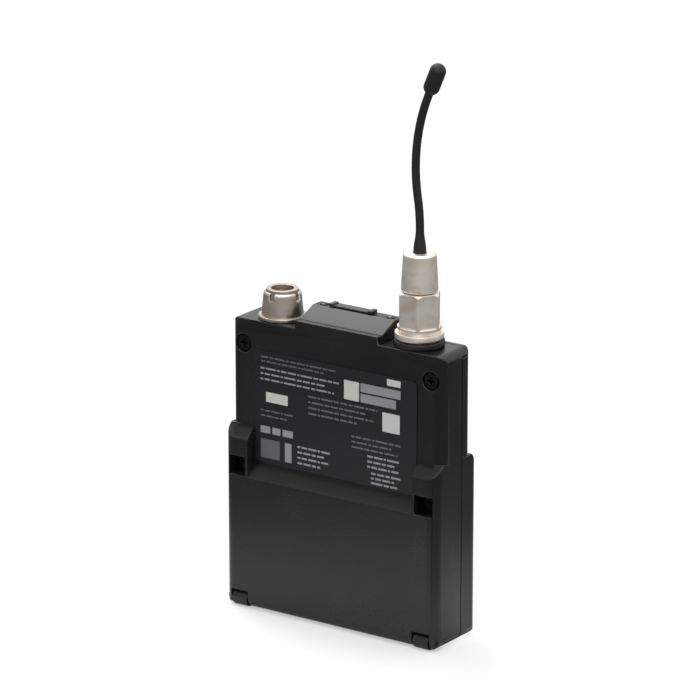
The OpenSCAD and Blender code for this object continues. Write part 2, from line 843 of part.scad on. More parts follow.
// Folded strip from the back of the panel down to the board
module display_ribbon() {
    ribbon_mid = board_y1 + fit + ribbon_r;
    fold_z = display_z - panel_h / 2 - ribbon_r;
    color([0.7, 0.45, 0.1])
        along_x(-ribbon_w / 2, ribbon_w / 2) {
            difference() {
                translate([ribbon_mid, fold_z + ribbon_r - fit])
                    circle(ribbon_r);
                translate([ribbon_mid, fold_z + ribbon_r - fit])
                    circle(ribbon_r - ribbon_t);
                translate([ribbon_mid - ribbon_r, fold_z + ribbon_r - fit])
                    square([2 * ribbon_r, ribbon_r]);
            }
            translate([ribbon_mid - ribbon_r, fold_z + ribbon_r - fit])
                square([ribbon_t, ribbon_r]);
        }
}

module main_board() {
    color([0.05, 0.25, 0.12])
        difference() {
            union() {
                box([-board_x, board_y0, board_z0], [board_x, board_y1, board_z1]);
                box([-neck_x, board_y0, board_z1 - over], [neck_x, board_y1, board_top_z]);
            }
            both_sides() {
                y_bar(screw_r + head_play, screw_x, board_y0 - over, board_y1 + over, screw_low_z);
                box([screw_x - screw_r - head_play, board_y0 - over, board_z0 - over],
                    [screw_x + screw_r + head_play, board_y1 + over, screw_low_z]);
            }
        }
}

module rf_shield() {
    shield_z = (board_z0 + board_z1) / 2;
    color([0.75, 0.75, 0.72])
        difference() {
            box([-shield_w / 2, board_y0 - fit - shield_d, shield_z - shield_h / 2],
                [shield_w / 2, board_y0 - fit, shield_z + shield_h / 2]);
            box([shield_t - shield_w / 2, board_y0 - fit - shield_d + shield_t,
                    shield_z - shield_h / 2 + shield_t],
                [shield_w / 2 - shield_t, board_y0 + over, shield_z + shield_h / 2 - shield_t]);
        }
}

module key_switches() {
    half = key_switch_w / 2;
    color([0.2, 0.2, 0.2])
        for (i = [-1:1]) {
            box([i * key_pitch - half, board_y1 + fit, key_z - half],
                [i * key_pitch + half, board_y1 + fit + key_switch_d, key_z + half]);
            y_bar(plunger_r, i * key_pitch, board_y1 + key_switch_d, plunger_top, key_z);
        }
}

module switch_body() {
    mid = knob_x + knob_travel / 2;
    color([0.25, 0.25, 0.25])
        box([mid - switch_w / 2, switch_y0, board_top_z - over], [mid + switch_w / 2, switch_y1, switch_z1]);
}

module indicator_lenses() {
    color([0.2, 0.5, 0.2])
        for (x = [lens_x0, lens_x1]) {
            z_bar(lens_r, x, ridge_mid, ridge_z - hump_wall - fit, ridge_z + face_gap);
            z_bar(lens_r + stem_play, x, ridge_mid, ridge_z - hump_wall - over, ridge_z - hump_wall - fit);
        }
}

module case_screw(z) {
    difference() {
        union() {
            y_bar(head_r, screw_x, seat_y - head_h, seat_y, z);
            y_bar(screw_r, screw_x, seat_y - fit, screw_end, z);
        }
        for (turn = [0, 90])
            translate([screw_x, seat_y - head_h, z])
                rotate([0, turn, 0])
                    box([-cross_len / 2, -over, -cross_w / 2], [cross_len / 2, cross_depth, cross_w / 2]);
    }
}

module case_screws() {
    color([0.15, 0.15, 0.15])
        both_sides()
            for (z = [screw_high_z, screw_low_z])
                case_screw(z);
}

module rating_label() {
    color([0.16, 0.16, 0.17])
        box([-label_x, upper_y0 - label_t, label_z0], [label_x, upper_y0, label_z0 + label_h]);
}

module hinge_pins() {
    color([0.7, 0.7, 0.7])
        both_sides()
            x_bar(hinge_pin_r, lug_x - notch_half - cheek_t + fit, lug_x + notch_half + cheek_t - fit,
                hinge_y, hinge_z);
}

// Cells and contacts

// Cell with its nub towards +X
module cell(z) {
    can_len = cell_len - nub_h;
    translate([cell_x0, 0, z])
        rotate([0, 90, 0])
            rotate_extrude()
                polygon([[0, 0], [cell_r - cell_rim_r, 0], [cell_r, cell_rim_r],
                    [cell_r, can_len - cell_rim_r], [cell_r - cell_rim_r, can_len], [nub_d / 2, can_len],
                    [nub_d / 2, cell_len], [0, cell_len]]);
}

module battery_upper() {
    color([0.15, 0.3, 0.5])
        cell(cell_high_z);
}

module battery_lower() {
    color([0.15, 0.3, 0.5])
        mirror([1, 0, 0])
            cell(cell_low_z);
}

module contact_bridge() {
    color([0.8, 0.75, 0.6])
        box([-plate_x - plate_t, plate_y0, cell_low_z - plate_h / 2],
            [-plate_x, plate_y1, cell_high_z + plate_h / 2]);
}

module contact_positive() {
    color([0.8, 0.75, 0.6]) {
        box([plate_x, plate_y0, cell_high_z - plate_h / 2],
            [plate_x + plate_t, high_plate_y1, cell_high_z + plate_h / 2]);
        box([plate_x, high_plate_y1 - tab_w, cell_high_z],
            [plate_x + plate_t, high_plate_y1, tab_top]);
    }
}

module contact_negative() {
    color([0.8, 0.75, 0.6]) {
        box([plate_x, plate_y0, cell_low_z - plate_h / 2],
            [plate_x + plate_t, plate_y1, cell_low_z + plate_h / 2]);
        box([plate_x, plate_y1 - tab_w, cell_low_z],
            [plate_x + plate_t, plate_y1, tab_top]);
    }
}

module contact_spring(z) {
    translate([-plate_x + fit, 0, z])
        rotate([0, 90, 0])
            coil(coil_r, coil_wire_r, coil_len, coil_turns);
}

module contact_springs() {
    color([0.8, 0.8, 0.78]) {
        contact_spring(cell_high_z);
        mirror([1, 0, 0])
            contact_spring(cell_low_z);
    }
}

// Battery lid

module lid_zone() {
    box([-far, front_edge, 0], [far, lower_y1 + over, shoulder_top]);
    box([-far, lid_y0, 0], [far, seam_y + over, wall]);
}

module lid_shell() {
    difference() {
        intersection() {
            envelope();
            lid_zone();
        }
        box([-inner_x, seam_y - over, wall], [inner_x, lower_y1 - wall, rim_z0]);
        box([-inner_x, seam_y - over, rim_z0 - over], [inner_x, rim_y0, shoulder_top + over]);
    }
}

module hinge_lug() {
    x_bar(lug_r, lug_x - lug_len / 2, lug_x + lug_len / 2, hinge_y, hinge_z);
    box([lug_x - lug_len / 2, hinge_y, 0], [lug_x + lug_len / 2, lid_y0 + over, wall]);
}

// Guides that hold a catch against the lid wall
module catch_guides() {
    for (side = [-1, 1])
        translate([catch_x + side * (slider_w / 2 + catch_play + rib_w / 2), 0, 0]) {
            box([-rib_w / 2, slider_y0 - catch_play - rib_w, slider_z0 - catch_travel],
                [rib_w / 2, lower_y1 - wall + fit, rim_z0 + fit]);
            box([min(-side * (rib_w + catch_play), 0), slider_y0 - catch_play - rib_w,
                    slider_z0 - catch_travel],
                [max(-side * (rib_w + catch_play), 0), slider_y0 - catch_play, rim_z0 + fit]);
        }
    box([catch_x - tongue_w / 2, slider_y0 - rib_w, spring_z0 - rib_w],
        [catch_x + tongue_w / 2, lower_y1 - wall + fit, spring_z0]);
}

module catch_opening() {
    box([catch_x - thumb_w / 2 - catch_play, slider_y1 - over, thumb_z0 - catch_travel - catch_play + fit],
        [catch_x + thumb_w / 2 + catch_play, lower_y1 + over, thumb_z1 + catch_play]);
    box([catch_x - tongue_w / 2 - catch_play, rim_y0 - over, rim_z0 - over],
        [catch_x + tongue_w / 2 + catch_play, tongue_y1 + catch_play, shoulder_top + over]);
}

module battery_lid() {
    color([0.11, 0.11, 0.11])
        difference() {
            union() {
                lid_shell();
                both_sides() {
                    hinge_lug();
                    catch_guides();
                }
            }
            both_sides() {
                catch_opening();
                x_bar(hinge_pin_r + hinge_play, lug_x - lug_len, lug_x + lug_len, hinge_y, hinge_z);
            }
        }
}

module lid_pad() {
    mid_z = (cell_low_z + cell_high_z) / 2;
    color([0.3, 0.3, 0.32])
        box([-pad_w / 2, lower_y1 - wall - pad_t, mid_z - pad_h / 2],
            [pad_w / 2, lower_y1 - wall, mid_z + pad_h / 2]);
}

module catch() {
    arm_z0 = thumb_z1 - thumb_h / 2;
    grip_pitch = thumb_h / (grip_count + 1);
    difference() {
        union() {
            box([catch_x - thumb_w / 2, slider_y1 - fit, thumb_z0],
                [catch_x + thumb_w / 2, lower_y1 - face_gap, thumb_z1]);
            box([catch_x - slider_w / 2, slider_y0, slider_z0],
                [catch_x + slider_w / 2, slider_y1, slider_z1]);
            box([catch_x - tongue_w / 2, tongue_y0, arm_z0],
                [catch_x + tongue_w / 2, slider_y0 + fit, arm_z0 + tongue_t]);
            box([catch_x - tongue_w / 2, tongue_y0, arm_z0],
                [catch_x + tongue_w / 2, tongue_y1, tongue_top]);
        }
        for (i = [1:grip_count])
            box([catch_x - thumb_w, lower_y1 - face_gap - grip_size,
                    thumb_z0 + i * grip_pitch - grip_size / 2],
                [catch_x + thumb_w, lower_y1, thumb_z0 + i * grip_pitch + grip_size / 2]);
        z_bar(catch_coil_r + catch_wire_r + catch_play, catch_x, slider_y0 - catch_wire_r, slider_z0 - over,
            spring_z0 + catch_spring_len + fit);
    }
}

module catch_right() {
    color([0.14, 0.14, 0.14])
        catch();
}

module catch_left() {
    color([0.14, 0.14, 0.14])
        mirror([1, 0, 0])
            catch();
}

module catch_spring() {
    translate([catch_x, slider_y0 - catch_wire_r, spring_z0 + fit])
        coil(catch_coil_r, catch_wire_r, catch_spring_len - fit, catch_turns);
}

module catch_spring_right() {
    color([0.7, 0.7, 0.7])
        catch_spring();
}

module catch_spring_left() {
    color([0.7, 0.7, 0.7])
        mirror([1, 0, 0])
            catch_spring();
}

// Controls

module power_switch() {
    knob_z = ridge_z + face_gap;
    color([0.2, 0.2, 0.2]) {
        box([knob_x - knob_len / 2, ridge_mid - knob_w / 2, knob_z],
            [knob_x + knob_len / 2, ridge_mid + knob_w / 2, knob_z + knob_t]);
        for (x = [knob_x - knob_len / 2, knob_x + knob_len / 2 - knob_ridge_w])
            box([x, ridge_mid - knob_w / 2, knob_z],
                [x + knob_ridge_w, ridge_mid + knob_w / 2, knob_z + knob_t + knob_ridge_h]);
        box([knob_x - stem_len / 2, ridge_mid - stem_w / 2, switch_z1 + face_gap],
            [knob_x + stem_len / 2, ridge_mid + stem_w / 2, knob_z + fit]);
    }
}

module key(i) {
    color([0.22, 0.22, 0.22]) {
        key_shape(i * key_pitch, key_back, upper_y1 + key_proud, 0);
        key_shape(i * key_pitch, key_back, key_back + key_flange_t, key_flange);
        y_bar(plunger_r, i * key_pitch, plunger_top + key_travel + face_gap, key_back + fit, key_z);
    }
}

module key_minus() {
    key(-1);
}

module key_set() {
    key(0);
}

module key_plus() {
    key(1);
}

// Audio socket

module at_audio() {
    translate([-connector_x, upper_mid, 0])
        children();
}

module audio_shell() {
    color([0.78, 0.74, 0.68])
        at_audio()
            rotate_extrude()
                polygon([[insert_r + fit, insert_z0], [flange_r, insert_z0], [flange_r, top_z0 - fit],
                    [shell_r, top_z0 - fit], [shell_r, shell_top], [mouth_r, shell_top],
                    [mouth_r, insert_top], [insert_r + fit, insert_top]]);
}

module audio_nut() {
    foot_z = platform_z + fit;
    ring_z = platform_z + ring_h;
    color([0.8, 0.76, 0.7])
        at_audio()
            difference() {
                rotate_extrude()
                    polygon([[shell_r + fit, foot_z], [ring_foot_r, foot_z],
                        [ring_foot_r, foot_z + ring_foot_h], [ring_r, foot_z + ring_foot_h],
                        [ring_top_r, ring_z - rim_chamfer],
                        [ring_top_r - rim_chamfer, ring_z], [shell_r + fit, ring_z]]);
                for (i = [0:ring_slots - 1])
                    rotate([0, 0, 360 * i / ring_slots])
                        box([0, -ring_slot_w / 2, ring_z - ring_slot_h],
                            [2 * ring_r, ring_slot_w / 2, ring_z + over]);
            }
}

// The contacts on their circle
module contact_ring() {
    at_audio()
        for (i = [0:contact_count - 1])
            rotate([0, 0, 360 * i / contact_count])
                translate([contact_circle_r, 0, 0])
                    children();
}

module audio_insert() {
    color([0.85, 0.85, 0.8])
        difference() {
            at_audio()
                z_bar(insert_r, 0, 0, insert_z0, insert_top - fit);
            contact_ring()
                z_bar(contact_r + fit, 0, 0, insert_z0 - over, insert_top + over);
        }
}

module audio_contacts() {
    color([0.85, 0.68, 0.3])
        contact_ring()
            difference() {
                z_bar(contact_r, 0, 0, tail_z, insert_top - face_gap);
                z_bar(contact_hole_r, 0, 0, insert_top - contact_hole_h, insert_top + over);
            }
}

// Antenna jack

module at_antenna() {
    translate([connector_x, upper_mid, 0])
        children();
}

module antenna_jack() {
    color([0.82, 0.7, 0.4])
        at_antenna()
            rotate_extrude()
                polygon([[insulator_r + fit, insert_z0], [flange_r, insert_z0], [flange_r, top_z0 - fit],
                    [jack_r, top_z0 - fit], [jack_r, jack_top], [insulator_r + fit, jack_top]]);
}

module jack_nut() {
    color([0.8, 0.76, 0.7])
        at_antenna()
            difference() {
                translate([0, 0, platform_z + fit])
                    cylinder(d = jack_nut_af / cos(30), h = jack_nut_h, $fn = 6);
                z_bar(jack_r + fit, 0, 0, platform_z - over, platform_z + jack_nut_h + over);
            }
}

module jack_insulator() {
    color([0.92, 0.92, 0.9])
        at_antenna()
            difference() {
                z_bar(insulator_r, 0, 0, insert_z0, jack_top - jack_recess);
                z_bar(centre_r + fit, 0, 0, insert_z0 - over, jack_top);
            }
}

module jack_contact() {
    color([0.85, 0.68, 0.3])
        at_antenna()
            difference() {
                z_bar(centre_r, 0, 0, tail_z, jack_top - jack_recess);
                z_bar(antenna_pin_r + face_gap, 0, 0, pin_z0 - face_gap, jack_top);
            }
}

module antenna_collar() {
    color([0.08, 0.08, 0.08])
        at_antenna()
            difference() {
                z_bar(collar_r, 0, 0, platform_z + fit, platform_z + collar_h);
                z_bar(collar_hole_r, 0, 0, platform_z - over, platform_z + collar_h + over);
            }
}

// Antenna

module antenna_nut() {
    groove_z0 = nut_z0 + nut_flange_h;
    groove_z1 = groove_z0 + groove_h;
    hole_r = neck_r + neck_play;
    color([0.8, 0.76, 0.7])
        at_antenna()
            difference() {
                rotate_extrude()
                    polygon([[nut_bore_r, nut_z0], [nut_flange_r - rim_chamfer, nut_z0],
                        [nut_flange_r, nut_z0 + rim_chamfer], [nut_flange_r, groove_z0],
                        [nut_r - groove_depth, groove_z0], [nut_r - groove_depth, groove_z1],
                        [nut_r, groove_z1], [nut_r, nut_z1 - rim_chamfer], [nut_r - rim_chamfer, nut_z1],
                        [hole_r, nut_z1], [hole_r, neck_z1 + face_gap], [nut_bore_r, neck_z1 + face_gap]]);
                for (turn = [0:60:300])
                    rotate([0, 0, turn])
                        box([-far, flats_w / 2, nut_z1 - flats_h], [far, far, nut_z1 + over]);
            }
}

module antenna_ferrule() {
    hole_r = antenna_pin_r + fit;
    socket_r = whip_foot_r + fit;
    color([0.8, 0.76, 0.7])
        at_antenna()
            rotate_extrude()
                polygon([[hole_r, neck_z0], [neck_flange_r, neck_z0], [neck_flange_r, neck_z1],
                    [neck_r, neck_z1], [neck_r, ferrule_z0], [ferrule_r - rim_chamfer, ferrule_z0],
                    [ferrule_r, ferrule_z0 + rim_chamfer], [ferrule_top_r, ferrule_z1 - rim_chamfer],
                    [ferrule_top_r - rim_chamfer, ferrule_z1], [socket_r, ferrule_z1],
                    [socket_r, whip_z - fit], [0, whip_z - fit], [0, pin_z1 + fit], [hole_r, pin_z1 + fit]]);
}

module antenna_pin() {
    color([0.85, 0.68, 0.3])
        at_antenna()
            z_bar(antenna_pin_r, 0, 0, pin_z0, pin_z1);
}

// Round bar bent through an angle towards +X, starting straight up at the origin
module bent_bar(r, bend_r, angle) {
    translate([bend_r, 0, 0])
        rotate([90, 0, 180])
            rotate_extrude(angle = angle)
                translate([bend_r, 0])
                    circle(r);
}

// Turn that carries a bend on over the foot of the next length
function lap_angle(bend_r) = over / bend_r * 180 / PI;

// Moves children to the end of such a bend
module after_bend(bend_r, angle) {
    translate([bend_r * (1 - cos(angle)), 0, bend_r * sin(angle)])
        rotate([0, angle, 0])
            children();
}

// Moves children to the end of the bent part of the whip
module at_whip_end() {
    translate([0, 0, ferrule_z1 + whip_foot_len])
        mirror([1, 0, 0])
            after_bend(bend_low_r, bend_low_a)
                mirror([1, 0, 0])
                    after_bend(bend_high_r, bend_high_a)
                        children();
}

// Each length of the whip is a little thinner than the one that laps over its foot
module antenna_whip() {
    color([0.07, 0.07, 0.07])
        at_antenna() {
            rotate_extrude()
                polygon([[0, whip_z], [whip_foot_r, whip_z], [whip_foot_r, ferrule_z1],
                    [whip_r + 2 * fit, ferrule_z1 + whip_foot_len + over],
                    [0, ferrule_z1 + whip_foot_len + over]]);
            translate([0, 0, ferrule_z1 + whip_foot_len])
                mirror([1, 0, 0]) {
                    bent_bar(whip_r + fit, bend_low_r, bend_low_a + lap_angle(bend_low_r));
                    after_bend(bend_low_r, bend_low_a)
                        mirror([1, 0, 0])
                            bent_bar(whip_r, bend_high_r, bend_high_a + lap_angle(bend_high_r));
                }
            at_whip_end()
                cylinder(r = whip_r - fit, h = tip_grip);
        }
}

module antenna_tip() {
    color([0.06, 0.06, 0.06])
        at_antenna()
            at_whip_end()
                difference() {
                    union() {
                        translate([0, 0, tip_r])
                            cylinder(r = tip_r, h = tip_len - 2 * tip_r);
                        for (z = [tip_r, tip_len - tip_r])
                            translate([0, 0, z])
                                sphere(r = tip_r);
                    }
                    translate([0, 0, -over])
                        cylinder(r = whip_r + 2 * fit, h = tip_grip + fit + over);
                }
}

rear_case();
front_case();
switch_housing();
display_window();
display_panel();
display_ribbon();
main_board();
rf_shield();
key_switches();
switch_body();
indicator_lenses();
case_screws();
rating_label();
hinge_pins();
battery_upper();
battery_lower();
contact_bridge();
contact_positive();
contact_negative();
contact_springs();
audio_shell();
audio_nut();
audio_insert();
audio_contacts();
antenna_jack();
jack_nut();
jack_insulator();
jack_contact();
antenna_collar();
battery_lid();
lid_pad();
catch_left();
catch_right();
catch_spring_left();
catch_spring_right();
power_switch();
key_minus();
key_set();
key_plus();
antenna_ferrule();
antenna_whip();
antenna_tip();
antenna_pin();
antenna_nut();
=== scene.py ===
import math

import bmesh
import bpy
from mathutils import Matrix, Vector, kdtree


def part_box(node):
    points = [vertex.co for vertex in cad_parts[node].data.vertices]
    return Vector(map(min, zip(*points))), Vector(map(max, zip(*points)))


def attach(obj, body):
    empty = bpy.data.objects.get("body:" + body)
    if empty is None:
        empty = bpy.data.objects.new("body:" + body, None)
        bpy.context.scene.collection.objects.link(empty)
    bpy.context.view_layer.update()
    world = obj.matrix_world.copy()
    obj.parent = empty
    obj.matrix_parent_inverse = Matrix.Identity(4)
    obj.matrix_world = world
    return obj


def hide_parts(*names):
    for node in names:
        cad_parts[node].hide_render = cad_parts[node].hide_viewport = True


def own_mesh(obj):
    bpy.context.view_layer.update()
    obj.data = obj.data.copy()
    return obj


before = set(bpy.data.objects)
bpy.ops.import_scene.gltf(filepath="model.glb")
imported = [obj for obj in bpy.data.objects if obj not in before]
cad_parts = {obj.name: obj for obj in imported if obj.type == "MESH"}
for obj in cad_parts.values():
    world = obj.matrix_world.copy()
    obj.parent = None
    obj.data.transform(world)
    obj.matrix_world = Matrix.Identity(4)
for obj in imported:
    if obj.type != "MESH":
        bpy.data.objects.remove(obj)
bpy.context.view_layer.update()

MM = 0.001
WELD = 2e-6
FLAT_ANGLE = math.radians(0.6)
SHARP_ANGLE = math.radians(28)
SMOOTH_ANGLE = math.radians(38)
STRAY_REACH = 1.6
TURN_STEPS = 72
CORNER_STEPS = 5
FULL_TURN = 2 * math.pi
WHITE = (1.0, 1.0, 1.0, 1.0)

# Camera at the photograph's viewing angle
AZIMUTH = math.radians(35)
ELEVATION = math.radians(17)
CAMERA_DISTANCE = 1.05
LENS_MM = 246
SENSOR_MM = 36
CLIP_END = 20
AIM = Vector((0.0, 0.0, 0.0625))

camera = bpy.data.objects.new("camera", bpy.data.cameras.new("camera"))
bpy.context.scene.collection.objects.link(camera)
camera.data.lens = LENS_MM
camera.data.sensor_width = SENSOR_MM
camera.data.clip_end = CLIP_END
sight = Vector((math.sin(AZIMUTH) * math.cos(ELEVATION), -math.cos(AZIMUTH) * math.cos(ELEVATION),
                math.sin(ELEVATION)))
camera.location = AIM + CAMERA_DISTANCE * sight
camera.rotation_euler = sight.to_track_quat("Z", "Y").to_euler()
bpy.context.scene.camera = camera


# Materials

def linear(hex_colour):
    """sRGB hex value as the linear colour that a socket takes."""
    channels = [int(hex_colour[i:i + 2], 16) / 255 for i in (1, 3, 5)]
    return [c / 12.92 if c <= 0.04045 else ((c + 0.055) / 1.055) ** 2.4 for c in channels] + [1.0]


def add(tree, kind, inputs, **settings):
    """One node with its settings. An input is a plain value or the socket that feeds it."""
    node = tree.nodes.new(kind)
    for name, value in settings.items():
        setattr(node, name, value)
    for key, value in inputs.items():
        if isinstance(value, bpy.types.NodeSocket):
            tree.links.new(value, node.inputs[key])
        else:
            node.inputs[key].default_value = value
    return node


def start_finish(name, **plain):
    """A new material with plain values on its shader."""
    finish = bpy.data.materials.new(name)
    finish.use_nodes = True
    shader = finish.node_tree.nodes["Principled BSDF"]
    for key, value in plain.items():
        shader.inputs[key.replace("_", " ")].default_value = value
    return finish, finish.node_tree, shader


def part_place(tree):
    """The place on the part that its textures are drawn from."""
    return add(tree, "ShaderNodeTexCoord", {}).outputs["Object"]


def noise(tree, place, size_mm, detail):
    """Noise whose features are this many millimetres across."""
    return add(tree, "ShaderNodeTexNoise", {"Vector": place, "Scale": 1 / (size_mm * MM), "Detail": detail})


def two_shades(tree, share, first_hex, second_hex):
    """The first colour, and the second one where the share is high."""
    mix = add(tree, "ShaderNodeMix", {"Factor": share, "A": linear(first_hex), "B": linear(second_hex)},
              data_type="RGBA")
    return mix.outputs["Result"]


# The span that noise mostly keeps to
NOISE_LOW = 0.3
NOISE_HIGH = 0.7


def spread(tree, value, least, most, low=NOISE_LOW, high=NOISE_HIGH):
    """Noise between low and high, spread from the least to the most."""
    span = add(tree, "ShaderNodeMapRange", {"Value": value, "From Min": low, "From Max": high,
                                            "To Min": least, "To Max": most})
    return span.outputs["Result"]


def relief(tree, shader, height, strength, depth_mm):
    """Fine relief that the shader's normal takes."""
    bump = add(tree, "ShaderNodeBump", {"Height": height, "Strength": strength, "Distance": depth_mm * MM})
    tree.links.new(bump.outputs["Normal"], shader.inputs["Normal"])


ABS_IOR = 1.53
ABS_TINT = (1.0, 0.99, 0.95, 1.0)
ABS_FLOW_MM = 14
ABS_GRAIN_ROUGH = 0.55
ABS_SPECK = 0.14
ABS_GLOSS_SPREAD = 0.05
ABS_WORN_GLOSS = -0.22
ABS_RELIEF = 0.6


def moulded_plastic(name, hex_colour, worn_hex, rough, grain_mm, grain_depth_mm, shine=0.4):
    """ABS from a spark-eroded mould: an even, fine grain that scatters the gloss. Handled edges are a
    little paler and smoother. The real grain of about 0.15 mm is drawn coarser, so that it shows."""
    finish, tree, shader = start_finish(name, IOR=ABS_IOR, Specular_IOR_Level=shine, Specular_Tint=ABS_TINT)
    place = part_place(tree)
    grain = noise(tree, place, grain_mm, 2.0)
    grain.inputs["Roughness"].default_value = ABS_GRAIN_ROUGH
    flow = noise(tree, place, ABS_FLOW_MM, 3.0)
    wear = add(tree, "ShaderNodeAttribute", {}, attribute_name="edge_wear")
    rubbed = add(tree, "ShaderNodeMath", {0: wear.outputs["Fac"], 1: flow.outputs["Fac"]},
                 operation="MULTIPLY")
    shade = two_shades(tree, rubbed.outputs[0], hex_colour, worn_hex)
    speck = add(tree, "ShaderNodeMix", {"Factor": ABS_SPECK, "A": shade, "B": grain.outputs["Color"]},
                data_type="RGBA", blend_type="SOFT_LIGHT")
    tree.links.new(speck.outputs["Result"], shader.inputs["Base Color"])
    gloss = spread(tree, flow.outputs["Fac"], rough - ABS_GLOSS_SPREAD, rough + ABS_GLOSS_SPREAD)
    worn_gloss = add(tree, "ShaderNodeMath", {0: rubbed.outputs[0], 1: ABS_WORN_GLOSS, 2: gloss},
                     operation="MULTIPLY_ADD")
    tree.links.new(worn_gloss.outputs[0], shader.inputs["Roughness"])
    relief(tree, shader, grain.outputs["Fac"], ABS_RELIEF, grain_depth_mm)
    return finish


RING_STRETCH = (0.04, 0.04, 1.0)
RING_SMOOTHER = 0.06
RING_ROUGHER = 0.08
RING_RELIEF = 0.35
RING_DEPTH_MM = 0.01
STAIN_AND_REFLECTION_MM = 3.5
STAIN_AND_REFLECTION_FROM = 0.45
STAIN_AND_REFLECTION_FULL = 0.8
STAIN_AND_REFLECTION_SHARE = 0.7


def turned_metal(name, hex_colour, stain_and_reflection_hex, rough, mark_mm):
    """Plated turned part: bright metal with fine rings from the lathe and faint warm clouds in its colour,
    which are partly a stain and partly a painted warm reflection. The rings are drawn wider than the real
    0.05 mm, so that they show."""
    finish, tree, shader = start_finish(name, Metallic=1.0)
    place = part_place(tree)
    rings = add(tree, "ShaderNodeMapping", {"Vector": place, "Scale": RING_STRETCH})
    marks = noise(tree, rings.outputs["Vector"], mark_mm, 2.0)
    # Warm clouds in the colour: a faint stain, and also a painted warm reflection
    cloud = noise(tree, place, STAIN_AND_REFLECTION_MM, 4.0)
    stain_and_reflection = spread(tree, cloud.outputs["Fac"], 0.0, STAIN_AND_REFLECTION_SHARE, STAIN_AND_REFLECTION_FROM, STAIN_AND_REFLECTION_FULL)
    tree.links.new(two_shades(tree, stain_and_reflection, hex_colour, stain_and_reflection_hex), shader.inputs["Base Color"])
    gloss = spread(tree, marks.outputs["Fac"], rough - RING_SMOOTHER, rough + RING_ROUGHER)
    tree.links.new(gloss, shader.inputs["Roughness"])
    relief(tree, shader, marks.outputs["Fac"], RING_RELIEF, RING_DEPTH_MM)
    return finish


GRAIN_GLOSS_SPREAD = 0.06
GRAIN_RELIEF = 0.5


def plain_grain(name, hex_colour, other_hex, rough, grain_mm, depth_mm, metallic=0.0, ior=1.5):
    """A plain surface with a small grain of two near shades and the relief that goes with it."""
    finish, tree, shader = start_finish(name, Metallic=metallic, IOR=ior)
    grain = noise(tree, part_place(tree), grain_mm, 3.0)
    shade = two_shades(tree, grain.outputs["Fac"], hex_colour, other_hex)
    tree.links.new(shade, shader.inputs["Base Color"])
    gloss = spread(tree, grain.outputs["Fac"], rough - GRAIN_GLOSS_SPREAD, rough + GRAIN_GLOSS_SPREAD)
    tree.links.new(gloss, shader.inputs["Roughness"])
    relief(tree, shader, grain.outputs["Fac"], GRAIN_RELIEF, depth_mm)
    return finish


POLYCARBONATE_IOR = 1.585
HAZE_MM = 2.5
HAZE_GLOSS_SPREAD = 0.05


def clear_plastic(name, hex_colour, rough):
    """Polished polycarbonate: clear and tinted, with a faint haze in the gloss."""
    finish, tree, shader = start_finish(name, IOR=POLYCARBONATE_IOR, Transmission_Weight=1.0)
    shader.inputs["Base Color"].default_value = linear(hex_colour)
    haze = noise(tree, part_place(tree), HAZE_MM, 4.0)
    gloss = spread(tree, haze.outputs["Fac"], rough, rough + HAZE_GLOSS_SPREAD)
    tree.links.new(gloss, shader.inputs["Roughness"])
    return finish


FILM_IOR = 1.57
FILM_ROUGH = 0.24
FILM_METALLIC = 0.35
SLEEVE_DARK = "#1a2431"
SLEEVE_BAND = "#a9753e"
BAND_FROM_MM = 15.5
RIPPLE_MM = 5
RIPPLE_RELIEF = 0.3
RIPPLE_DEPTH_MM = 0.03


def cell_sleeve(name, nub_side):
    """Shrunk film on a cell: glossy, dark, with one plain coloured band near its nub."""
    finish, tree, shader = start_finish(name, IOR=FILM_IOR, Roughness=FILM_ROUGH, Metallic=FILM_METALLIC)
    place = part_place(tree)
    across = add(tree, "ShaderNodeSeparateXYZ", {"Vector": place})
    reach = add(tree, "ShaderNodeMath", {0: across.outputs["X"], 1: nub_side}, operation="MULTIPLY")
    band = add(tree, "ShaderNodeMath", {0: reach.outputs[0], 1: BAND_FROM_MM * MM}, operation="GREATER_THAN")
    shade = two_shades(tree, band.outputs[0], SLEEVE_DARK, SLEEVE_BAND)
    tree.links.new(shade, shader.inputs["Base Color"])
    ripple = noise(tree, place, RIPPLE_MM, 2.0)
    relief(tree, shader, ripple.outputs["Fac"], RIPPLE_RELIEF, RIPPLE_DEPTH_MM)
    return finish


# Each finish: colour, second colour, roughness, then the size and the depth of its grain in millimetres
housing_abs = moulded_plastic("housing_moulded_abs", "#09090a", "#282829", 0.38, 0.55, 0.035)
switch_abs = moulded_plastic("switch_housing_abs", "#0e0e0e", "#343434", 0.42, 0.5, 0.02, shine=0.28)
control_abs = moulded_plastic("control_satin_abs", "#18181a", "#424242", 0.4, 0.45, 0.012)
label_film = plain_grain("label_polyester_film", "#17171b", "#1d1d21", 0.4, 0.7, 0.006)
pale_ink = plain_grain("label_pale_ink", "#dcdcd8", "#e6e6e2", 0.5, 0.5, 0.004)
mid_ink = plain_grain("label_mid_ink", "#9a9a9e", "#a8a8ac", 0.5, 0.5, 0.004)
grey_ink = plain_grain("label_grey_ink", "#66666b", "#727277", 0.5, 0.5, 0.004)
key_print = plain_grain("key_print", "#b9bab8", "#c6c7c5", 0.5, 0.5, 0.004)
nickel_plate = turned_metal("satin_nickel_plate", "#f6f0e8", "#e0c6ab", 0.46, 0.22)
dull_nickel = turned_metal("dull_nickel_plate", "#d0c6bc", "#a38c77", 0.34, 0.22)
gold_plate = turned_metal("gold_plate", "#d9b45c", "#b8863a", 0.2, 0.2)
spring_wire = turned_metal("nickel_spring_wire", "#b9b7b0", "#8d8980", 0.28, 0.3)
tinned_sheet = plain_grain("tinned_sheet", "#b7b8b4", "#a4a5a1", 0.34, 1.2, 0.01, metallic=1.0)
